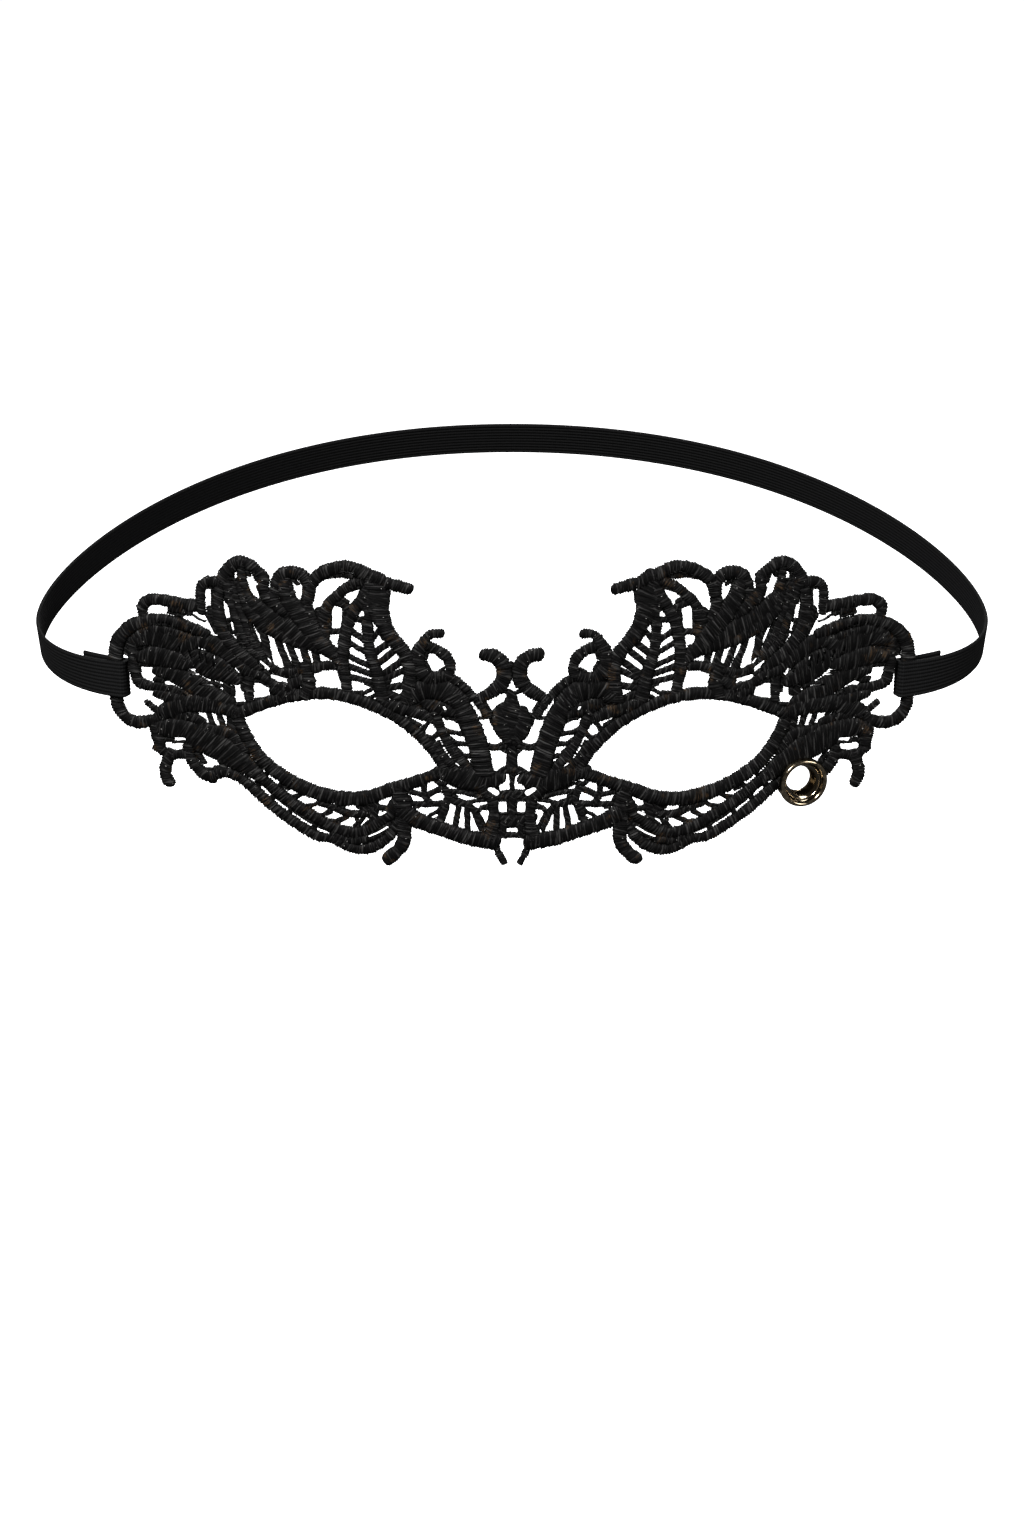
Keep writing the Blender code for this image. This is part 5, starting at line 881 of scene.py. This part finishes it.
def slits_near(lace, side, place):
    """The cutters of the slits and pinholes that meet a strand."""
    flat = place.reshape(-1, 2)
    found = []
    for width, points in every_slit():
        line = smooth_route(chart_route(lace, side, points), SLIT_STEPS)
        away = np.linalg.norm(flat[:, None] - line[None], axis=2).min()
        if away < width * lace.cord_width / 2 + lace.thread_pitch:
            found.append(slit_cutter(lace, side, width, points))
    return found


def every_slit():
    """The width and route of each slit, and of each pinhole as a very short slit."""
    rows = [(width, points) for _, width, points in SLITS]
    for count, points in PINHOLES:
        line = smooth_route(points, count)
        for index in np.linspace(0, len(line) - 1, count):
            across, up = line[round(index)]
            rows.append((PINHOLE_WIDTH, ((across, up), (across, up + PINHOLE_LENGTH))))
    return rows


def every_strand():
    """The kind, widths and route of each strand, and of each filling between strands."""
    rows = [(kind, widths, points) for _, kind, widths, points in STRANDS]
    return rows + [("filling", (width,) * 3, points) for _, width, points in FILLS]


def sewn(context, name, kinds, sides):
    """Sews every strand of some kinds on some sides of the mask and joins them."""
    lace = context.scene.lace_mask.lace
    eyelet = context.scene.lace_mask.eyelet
    chance = random.Random(name)
    bore = bore_cutter(lace, eyelet)
    bore_place = np.array((eyelet.across, eyelet.up))
    joined = bmesh.new()
    for index, (kind, widths, points) in enumerate(every_strand()):
        if kind not in kinds:
            continue
        for side in sides:
            if side < 0 and max(p[0] for p in points) / 100 * half_width(lace) < CENTRE_LINE:
                continue
            lift = LIFT_STEP * (index % LIFTS)
            strand, place = satin_strand(lace, kind, side, widths, points, chance, lift)
            for cutter in slits_near(lace, side, place):
                strand = cut_away(strand, cutter)
            away = np.linalg.norm(place.reshape(-1, 2) - bore_place, axis=1).min()
            if away < bore_radius(eyelet) * BORE_MARGIN:
                strand = cut_away(strand, bore)
            joined.from_mesh(strand)
            bpy.data.meshes.remove(strand)
    mesh = bpy.data.meshes.new(name)
    joined.to_mesh(mesh)
    joined.free()
    mesh.polygons.foreach_set("use_smooth", np.ones(len(mesh.polygons), bool))
    return dressed(name, mesh, satin_thread(lace), "lace")


def dressed(name, mesh, material, node):
    """A finished piece, with its finish, the node it stands for and the body it rides on."""
    mesh.materials.clear()
    mesh.materials.append(material)
    piece = bpy.data.objects.new(name, mesh)
    bpy.context.scene.collection.objects.link(piece)
    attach(piece, BODY)
    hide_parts(node)
    return piece


def bezier(start, leave, arrive, end, steps):
    t = np.linspace(0, 1, steps + 1)[:, None]
    return (start * (1 - t) ** 3 + 3 * leave * t * (1 - t) ** 2
            + 3 * arrive * t * t * (1 - t) + end * t ** 3)


class SlotFrame:
    """Directions at the strap's slot: outwards along the lace, and forward out of it."""

    def __init__(self, lace, strap):
        slot = next(points for name, _, points in SLITS if name == STRAP_SLOT)
        across, self.up = chart_route(lace, 1, slot).mean(axis=0)
        turn = float(face_turn(lace, across))
        self.origin = np.array((across, face_depth(lace, across), self.up))
        self.out = np.array((math.cos(turn), math.sin(turn), 0.0))
        self.forward = np.array((math.sin(turn), -math.cos(turn), 0.0))
        self.edge = (half_width(lace) - across) / math.cos(turn)
        self.behind = -(FIT_GAP + strap.thickness / 2)
        self.before = lace.cord_thickness + FIT_GAP + strap.thickness / 2

    def place(self, along, ahead):
        return self.origin + self.out * along + self.forward * ahead


def fold_route(strap, slot):
    """The strap's passage through the slot, from behind the lace to its front."""
    turns = np.radians(np.linspace(0, 90, FOLD_STEPS))
    radius = strap.fold_radius
    rear = [slot.place(radius * (1 - math.sin(a)), slot.behind + radius * (1 - math.cos(a)))
            for a in turns]
    front = [slot.place(radius * (1 - math.cos(a)), slot.before - radius * (1 - math.sin(a)))
             for a in turns]
    return np.array(rear + front)


def loop_route(lace, strap, slot):
    """The strap from the front of the lace's end cord to the middle of the back."""
    rise = np.array((0.0, math.cos(strap.rise), math.sin(strap.rise)))
    start = slot.place(slot.edge * LEAVING_SHARE, slot.before)
    side = np.array((half_width(lace) + strap.bulge, lace.face_sag, slot.up))
    side = side + rise * strap.front_reach
    back = np.array((0.0, side[1], side[2])) + rise * strap.back_reach
    sideways = np.array((side[0], 0.0, 0.0))
    front = bezier(start, start + slot.out * strap.front_reach * START_PULL,
                   side - rise * strap.front_reach * SIDE_PULL, side, FRONT_STEPS)
    rear = bezier(side, side + rise * strap.back_reach * SIDE_PULL_BACK,
                  back + sideways * BACK_PULL, back, REAR_STEPS)
    lean = np.linspace(0, 1, FRONT_STEPS + 1)
    lean = np.concatenate((lean * lean * (3 - 2 * lean), np.ones(REAR_STEPS)))
    return np.vstack((front, rear[1:])), lean * strap.rise


def hem_route(strap, slot, outer):
    """The turned-back end, which lies inside the strap's first stretch."""
    ahead = headings(outer)
    run = running_length(outer)
    hem, used = [], []
    for index in range(1, len(outer)):
        if run[index] > strap.hem:
            break
        inward = np.array((-ahead[index][1], ahead[index][0], 0.0))
        inward /= np.linalg.norm(inward)
        height = float(np.dot(outer[index] - slot.origin, slot.forward))
        away = max(strap.thickness + FIT_GAP, height - slot.behind)
        hem.append(outer[index] + inward * away)
        used.append(index)
    return np.array(hem), used


def ribbed_section(strap):
    """Points round the elastic's section: ribs in front and behind, thin at the selvedges.

    Columns: across the band and out of it, both as shares of half its size.
    """
    share = np.linspace(0, 1, strap.ribs * RIB_STEPS + 1)
    rib = np.abs(np.sin(np.pi * strap.ribs * share)) ** RIB_FULLNESS
    out = RIB_ROOT + (1 - RIB_ROOT) * rib
    across = 2 * share - 1
    front = np.stack((across, out), axis=1)
    back = np.stack((across[::-1], -out[::-1]), axis=1)
    return np.vstack((back, front))


def half_strap(lace, strap):
    """Rings of the elastic from its hem to the middle of the back, on the right side."""
    slot = SlotFrame(lace, strap)
    fold = fold_route(strap, slot)
    outer, lean = loop_route(lace, strap, slot)
    hem, used = hem_route(strap, slot, np.vstack((fold[-1], outer)))
    hem_lean = np.concatenate(((0.0,), lean))[used]
    route = np.vstack((hem[::-1], fold, outer))
    leans = np.concatenate((hem_lean[::-1], np.zeros(len(fold)), lean))
    run = running_length(route)
    kept = np.concatenate(((True,), np.diff(run) > LEAST_STEP))
    route, leans, run = route[kept], leans[kept], run[kept]
    even = np.linspace(0, run[-1], round(run[-1] / STRAP_STEP) + 1)
    even = np.union1d(even, run[run < strap.hem + FINE_REACH])
    return resampled(route, run, even), np.interp(even, run, leans), even


def strap_mesh(lace, strap):
    """The whole elastic: a ribbed section swept along both halves of the loop."""
    route, leans, run = half_strap(lace, strap)
    section = ribbed_section(strap)
    mirror = np.array((-1.0, 1.0, 1.0))
    route = np.vstack((route, (route * mirror)[-2::-1]))
    leans = np.concatenate((leans, leans[-2::-1]))
    run = np.concatenate((run, 2 * run[-1] - run[-2::-1]))
    ahead = headings(route)
    aside = np.stack((np.zeros(len(leans)), -np.sin(leans), np.cos(leans)), axis=1)
    out = np.cross(ahead, aside)
    out /= np.linalg.norm(out, axis=1)[:, None]
    across = section[:, 0] * strap.width / 2
    away = section[:, 1] * strap.thickness / 2
    rings = (route[:, None] + aside[:, None] * across[None, :, None]
             + out[:, None] * away[None, :, None])
    mesh = bpy.data.meshes.new("strap_elastic")
    mesh.from_pydata(rings.reshape(-1, 3).tolist(), [], tube_faces(len(route), len(section)))
    lay_threads(mesh, run, np.append(across, across[0]))
    face_out(mesh)
    mesh.polygons.foreach_set("use_smooth", np.ones(len(mesh.polygons), bool))
    return mesh


def rolled_edge(start, end, height, roll, steps):
    """The section of a roll between two radii, standing off from a height."""
    turns = np.linspace(0, math.pi, steps)
    radii = (start + end) / 2 + (start - end) / 2 * np.cos(turns)
    heights = height + roll * (ROLL_STEP + (1 - ROLL_STEP) * np.sin(turns))
    return list(zip(radii, heights))


def turned_rim(lace, eyelet):
    """The eyelet's profile: a rolled rim, a fine bead, a funnel and the curl behind the lace.

    Columns: radius and height in front of the lace's back. Runs from the outside of the rim.
    """
    inner, outer = eyelet.bore / 2, eyelet.outer / 2
    front, back = lace.cord_thickness + FIT_GAP, -FIT_GAP
    back_outer, barrel = outer - eyelet.wall, inner + eyelet.wall
    throat = inner * eyelet.throat
    rim = rolled_edge(outer, inner + BEAD_WIDTH, front, eyelet.roll, RIM_STEPS)
    bead = rolled_edge(inner + BEAD_WIDTH, inner, front, eyelet.roll * BEAD_HEIGHT, BEAD_STEPS)
    down = np.linspace(0, 1, BEAD_STEPS + 1)[1:]
    funnel = list(zip(inner + (throat - inner) * down ** FUNNEL_CURVE,
                      front + (back - front) * down))
    curl = rolled_edge(throat, back_outer, back, -eyelet.back_roll, RIM_STEPS)
    return [*rim, *bead[1:], *funnel, *curl, (back_outer, back), (barrel, back),
            (barrel, front), (outer - eyelet.wall, front)]


def eyelet_mesh(lace, eyelet):
    """The profile turned round the eyelet's axis."""
    profile = np.array(turned_rim(lace, eyelet))
    turns = 2 * math.pi * np.arange(EYELET_STEPS) / EYELET_STEPS
    rings = np.stack((np.cos(turns)[:, None] * profile[:, 0],
                      np.sin(turns)[:, None] * profile[:, 0],
                      np.ones(EYELET_STEPS)[:, None] * profile[:, 1]), axis=2)
    count = len(profile)
    faces = []
    for i in range(EYELET_STEPS):
        after = (i + 1) % EYELET_STEPS
        for j in range(count):
            k = (j + 1) % count
            faces.append((i * count + j, after * count + j, after * count + k, i * count + k))
    mesh = bpy.data.meshes.new("eyelet_ring")
    mesh.from_pydata(rings.reshape(-1, 3).tolist(), [], faces)
    mesh.transform(eyelet_matrix(lace, eyelet))
    face_out(mesh)
    mesh.shade_smooth()
    mesh.set_sharp_from_angle(angle=SHARP_EDGE)
    return mesh


class NodeTable:
    """A material's nodes, made and joined in few words."""

    def __init__(self, name):
        self.material = bpy.data.materials.new(name)
        self.material.use_nodes = True
        self.tree = self.material.node_tree
        self.shader = self.tree.nodes["Principled BSDF"]

    def add(self, kind, links=(), **values):
        """A node with its settings by name, and pairs of socket and source or value."""
        node = self.tree.nodes.new(kind)
        for name, value in values.items():
            setattr(node, name, value)
        for socket, source in links:
            self.join(node.inputs[socket], source)
        return node

    def join(self, socket, source):
        if hasattr(source, "is_output"):
            self.tree.links.new(source, socket)
        else:
            socket.default_value = source

    def sum_up(self, operation, *sources):
        """The output of a Math node."""
        node = self.add("ShaderNodeMath", list(enumerate(sources)), operation=operation)
        return node.outputs[0]

    def ramp(self, source, low, high, low_colour, high_colour):
        """A colour that runs from one to the other as the source runs from low to high."""
        node = self.add("ShaderNodeValToRGB", [(0, source)])
        first, last = node.color_ramp.elements
        first.position, last.position = low, high
        first.color, last.color = (*low_colour, 1.0), (*high_colour, 1.0)
        return node.outputs[0]

    def noise(self, vector, scale, detail=3.0, roughness=0.5):
        node = self.add("ShaderNodeTexNoise", [("Vector", vector), ("Scale", scale),
                                               ("Detail", detail), ("Roughness", roughness)])
        return node.outputs[0]

    def stretched(self, vector, along, around):
        """The thread coordinates scaled along the strand and around it."""
        node = self.add("ShaderNodeVectorMath", [(0, vector), (1, (along, around, 1.0))],
                        operation="MULTIPLY")
        return node.outputs[0]

    def mix(self, share, first, second):
        node = self.add("ShaderNodeMix", [(0, share), (6, first), (7, second)],
                        data_type="RGBA")
        return node.outputs[2]

    def set(self, **values):
        for name, value in values.items():
            self.join(self.shader.inputs[name.replace("_", " ")], value)


def satin_thread(lace):
    """Black rayon thread: fine turns, with painted highlights: pale streaks, warm glints and
    sparkles.
    """
    made = bpy.data.materials.get("black_satin_thread")
    if made:
        return made
    nodes = NodeTable("black_satin_thread")
    threads = nodes.add("ShaderNodeUVMap", uv_map=THREADS).outputs[0]
    place = nodes.add("ShaderNodeTexCoord").outputs["Object"]
    streaks = nodes.noise(nodes.stretched(threads, 1.9, 0.32), 1.0, 3.0, 0.6)
    fibres = nodes.noise(nodes.stretched(threads, 5.0, 0.7), 1.0, 3.0, 0.6)
    turns = nodes.add("ShaderNodeTexWave", [("Vector", threads), ("Scale", FINE_TURNS),
                                            ("Distortion", 1.2), ("Detail", 2.0)])
    patches = nodes.noise(place, 220.0, 2.0)
    specks = nodes.noise(nodes.stretched(threads, 2.6, 1.5), 1.0, 1.0)
    # Painted highlight: pale streaks across the dark thread, where the streak noise is high
    colour = nodes.ramp(streaks, 0.52, 0.68, lace.thread_colour, lace.painted_fibre_highlight)
    # Painted warm glint: brown patches where the patch noise and the fibre noise are both high
    brown = nodes.sum_up("MULTIPLY", nodes.ramp(patches, 0.62, 0.70, BLACK, WHITE),
                         nodes.ramp(fibres, 0.50, 0.62, BLACK, WHITE))
    colour = nodes.mix(brown, colour, (*lace.painted_warm_glint, 1.0))
    sparkle = nodes.ramp(specks, 0.755, 0.80, BLACK, WHITE)
    colour = nodes.mix(sparkle, colour, (*lace.sparkle_colour, 1.0))
    height = nodes.sum_up("MULTIPLY_ADD", turns.outputs["Fac"], 0.5, fibres)
    bump = nodes.add("ShaderNodeBump", [("Strength", 0.8), ("Distance", 0.0001),
                                        ("Height", height)])
    rough = nodes.add("ShaderNodeMapRange", [(0, streaks), (1, 0.35), (2, 0.7), (3, 0.70),
                                             (4, 0.42)]).outputs[0]
    nodes.set(Base_Color=colour, Roughness=rough, Normal=bump.outputs[0],
              Specular_IOR_Level=0.10, Sheen_Weight=0.0)
    return nodes.material


def knitted_elastic(strap):
    """Ribbed elastic: painted shade in the grooves between the ribs, and a fine stitch across
    each rib whose raised loops carry a painted highlight.
    """
    nodes = NodeTable("ribbed_elastic")
    threads = nodes.add("ShaderNodeUVMap", uv_map=THREADS).outputs[0]
    parts = nodes.add("ShaderNodeSeparateXYZ", [(0, threads)])
    along, across = parts.outputs[0], parts.outputs[1]
    ribs = strap.ribs * MM / strap.width
    rib = nodes.sum_up("ABSOLUTE", nodes.sum_up(
        "SINE", nodes.sum_up("MULTIPLY_ADD", across, math.pi * ribs,
                             math.pi * strap.ribs / 2)))
    slant = nodes.sum_up("MULTIPLY_ADD", rib, 1.6, nodes.sum_up(
        "MULTIPLY", along, 2 * math.pi / STITCH_LENGTH))
    stitch = nodes.sum_up("MULTIPLY_ADD", nodes.sum_up("SINE", slant), 0.5, 0.5)
    fuzz = nodes.noise(nodes.stretched(threads, 1.1, 6.0), 1.0, 4.0, 0.6)
    # Painted shade: darker in the grooves, where the ribs of the geometry dip
    colour = nodes.ramp(rib, 0.12, 0.75, strap.painted_groove_shade, strap.colour)
    # Painted highlight: the raised stitch loops are coloured paler, up to 2.2 times the rib
    # colour
    light = nodes.ramp(nodes.sum_up("MULTIPLY", fuzz, stitch), 0.36, 0.66, BLACK, WHITE)
    pale = tuple(2.2 * c for c in strap.colour)
    colour = nodes.mix(light, colour, (*pale, 1.0))
    height = nodes.sum_up("MULTIPLY_ADD", stitch, 0.45, nodes.sum_up(
        "MULTIPLY_ADD", fuzz, 0.5, rib))
    bump = nodes.add("ShaderNodeBump", [("Strength", 0.6), ("Distance", 0.00012),
                                        ("Height", height)])
    nodes.set(Base_Color=colour, Normal=bump.outputs[0], Roughness=0.82,
              Specular_IOR_Level=0.08, Sheen_Weight=0.0)
    return nodes.material


def dark_brass(eyelet):
    """Dark plated brass, polished, with rubbed edges and fine scratches."""
    nodes = NodeTable("dark_brass")
    place = nodes.add("ShaderNodeTexCoord").outputs["Object"]
    edges = nodes.add("ShaderNodeNewGeometry").outputs["Pointiness"]
    wear = nodes.noise(place, 900.0, 4.0, 0.6)
    rubbed = nodes.sum_up("MULTIPLY_ADD", wear, 0.10, edges)
    colour = nodes.ramp(rubbed, 0.555, 0.60, eyelet.colour, eyelet.worn_colour)
    rough = nodes.add("ShaderNodeMapRange", [(0, wear), (1, 0.3), (2, 0.7), (3, 0.09),
                                             (4, 0.18)]).outputs[0]
    bump = nodes.add("ShaderNodeBump", [("Strength", 0.06), ("Distance", 0.00005),
                                        ("Height", wear)])
    nodes.set(Base_Color=colour, Metallic=1.0, Roughness=rough, Normal=bump.outputs[0])
    return nodes.material


def pale_floor(stage):
    """A matt, nearly white floor that glows a little, so that no edge of it shows."""
    nodes = NodeTable("pale_floor")
    place = nodes.add("ShaderNodeTexCoord").outputs["Object"]
    cloudy = nodes.noise(place, 3.0, 2.0)
    shade = tuple(0.985 * c for c in stage.floor_colour)
    nodes.set(Base_Color=nodes.ramp(cloudy, 0.3, 0.7, shade, stage.floor_colour),
              Roughness=0.9, Specular_IOR_Level=0.1, Emission_Color=(1.0, 1.0, 1.0, 1.0),
              Emission_Strength=FLOOR_GLOW)
    return nodes.material


class MaskOperator:
    """What every step of making the mask shares."""

    bl_options = {"REGISTER", "UNDO"}

    def execute(self, context):
        self.make(context)
        return {"FINISHED"}


class SewCords(MaskOperator, Operator):
    """Sew the padded cords and the free tails, one piece for each side"""

    bl_idname = "lace_mask.sew_cords"
    bl_label = "Sew Cords"

    def make(self, context):
        sewn(context, "lace_cords_right", ("cord", "tail"), (1,))
        sewn(context, "lace_cords_left", ("cord", "tail"), (-1,))


class SewLeaves(MaskOperator, Operator):
    """Sew the swelling satin leaves and plumes"""

    bl_idname = "lace_mask.sew_leaves"
    bl_label = "Sew Leaves"

    def make(self, context):
        sewn(context, "lace_leaves", ("leaf",), (1, -1))


class SewBars(MaskOperator, Operator):
    """Sew the thin bars that tie the lace together"""

    bl_idname = "lace_mask.sew_bars"
    bl_label = "Sew Bars"

    def make(self, context):
        sewn(context, "lace_bars", ("bar", "filling"), (1, -1))


class WeaveStrap(MaskOperator, Operator):
    """Weave the ribbed elastic and thread it through the slots"""

    bl_idname = "lace_mask.weave_strap"
    bl_label = "Weave Strap"

    def make(self, context):
        settings = context.scene.lace_mask
        mesh = strap_mesh(settings.lace, settings.strap)
        material = knitted_elastic(settings.strap)
        dressed("strap_elastic", mesh, material, "strap")


class RollEyelet(MaskOperator, Operator):
    """Turn the brass eyelet that clasps the lace"""

    bl_idname = "lace_mask.roll_eyelet"
    bl_label = "Roll Eyelet"

    def make(self, context):
        settings = context.scene.lace_mask
        mesh = eyelet_mesh(settings.lace, settings.eyelet)
        dressed("eyelet_ring", mesh, dark_brass(settings.eyelet), "eyelet")


class SetStage(MaskOperator, Operator):
    """Lay the pale floor, hang the soft lights and set up the camera"""

    bl_idname = "lace_mask.set_stage"
    bl_label = "Set Stage"

    def make(self, context):
        stage = context.scene.lace_mask.stage
        lay_floor(stage)
        light_room(context.scene)
        for name, place, size, power in LIGHTS:
            hang_light(name, Vector(place), size, power)
        place_camera(context.scene, stage)


def lay_floor(stage):
    shape = bmesh.new()
    bmesh.ops.create_circle(shape, cap_ends=True, segments=FLOOR_SIDES, radius=stage.floor_size)
    mesh = bpy.data.meshes.new("floor")
    shape.to_mesh(mesh)
    shape.free()
    mesh.materials.append(pale_floor(stage))
    floor = bpy.data.objects.new("floor", mesh)
    floor.location.z = -stage.floor_depth
    floor.visible_diffuse = False
    floor.visible_glossy = False
    bpy.context.scene.collection.objects.link(floor)


def light_room(scene):
    """A plain white room, whose walls give less light than they show."""
    world = bpy.data.worlds.new("white_room")
    world.use_nodes = True
    tree = world.node_tree
    background = tree.nodes["Background"]
    background.inputs["Color"].default_value = (1.0, 1.0, 1.0, 1.0)
    seen = tree.nodes.new("ShaderNodeLightPath").outputs["Is Camera Ray"]
    strength = tree.nodes.new("ShaderNodeMapRange")
    tree.links.new(seen, strength.inputs["Value"])
    strength.inputs["To Min"].default_value = ROOM_LIGHT
    strength.inputs["To Max"].default_value = ROOM_SEEN
    tree.links.new(strength.outputs["Result"], background.inputs["Strength"])
    scene.world = world
    scene.view_settings.view_transform = "Standard"


def hang_light(name, place, size, power):
    light = bpy.data.lights.new(name, "AREA")
    light.shape = "DISK"
    light.size = size
    light.energy = power
    lamp = bpy.data.objects.new(name, light)
    lamp.location = place
    lamp.rotation_euler = (-place).to_track_quat("-Z", "Y").to_euler()
    bpy.context.scene.collection.objects.link(lamp)


def place_camera(scene, stage):
    lens = bpy.data.cameras.new("camera")
    lens.lens = stage.camera_lens
    lens.clip_start = 0.01
    camera = bpy.data.objects.new("camera", lens)
    rise = stage.camera_height
    camera.location = Vector((0, -math.cos(rise), math.sin(rise))) * stage.camera_distance
    camera.rotation_euler = (math.pi / 2 - rise, 0, 0)
    scene.collection.objects.link(camera)
    scene.camera = camera


class MaskPanel(Panel):
    """Lists the steps of making the mask"""

    bl_idname = "VIEW3D_PT_lace_mask"
    bl_label = "Lace Eye Mask"
    bl_space_type = "VIEW_3D"
    bl_region_type = "UI"
    bl_category = "Lace Mask"

    def draw(self, context):
        for step in STEPS:
            self.layout.operator(step.bl_idname)
        settings = context.scene.lace_mask
        for group in (settings.lace, settings.strap, settings.eyelet, settings.stage):
            box = self.layout.box()
            for name in group.__annotations__:
                box.prop(group, name)


STEPS = (SetStage, SewCords, SewLeaves, SewBars, WeaveStrap, RollEyelet)
GROUPS = (LaceSettings, StrapSettings, EyeletSettings, StageSettings, MaskSettings)


def register():
    for kind in (*GROUPS, *STEPS, MaskPanel):
        bpy.utils.register_class(kind)
    bpy.types.Scene.lace_mask = PointerProperty(type=MaskSettings)


def unregister():
    del bpy.types.Scene.lace_mask
    for kind in reversed((*GROUPS, *STEPS, MaskPanel)):
        bpy.utils.unregister_class(kind)


def main():
    register()
    bpy.ops.lace_mask.set_stage()
    bpy.ops.lace_mask.sew_cords()
    bpy.ops.lace_mask.sew_leaves()
    bpy.ops.lace_mask.sew_bars()
    bpy.ops.lace_mask.weave_strap()
    bpy.ops.lace_mask.roll_eyelet()


if __name__ == "__main__":
    main()
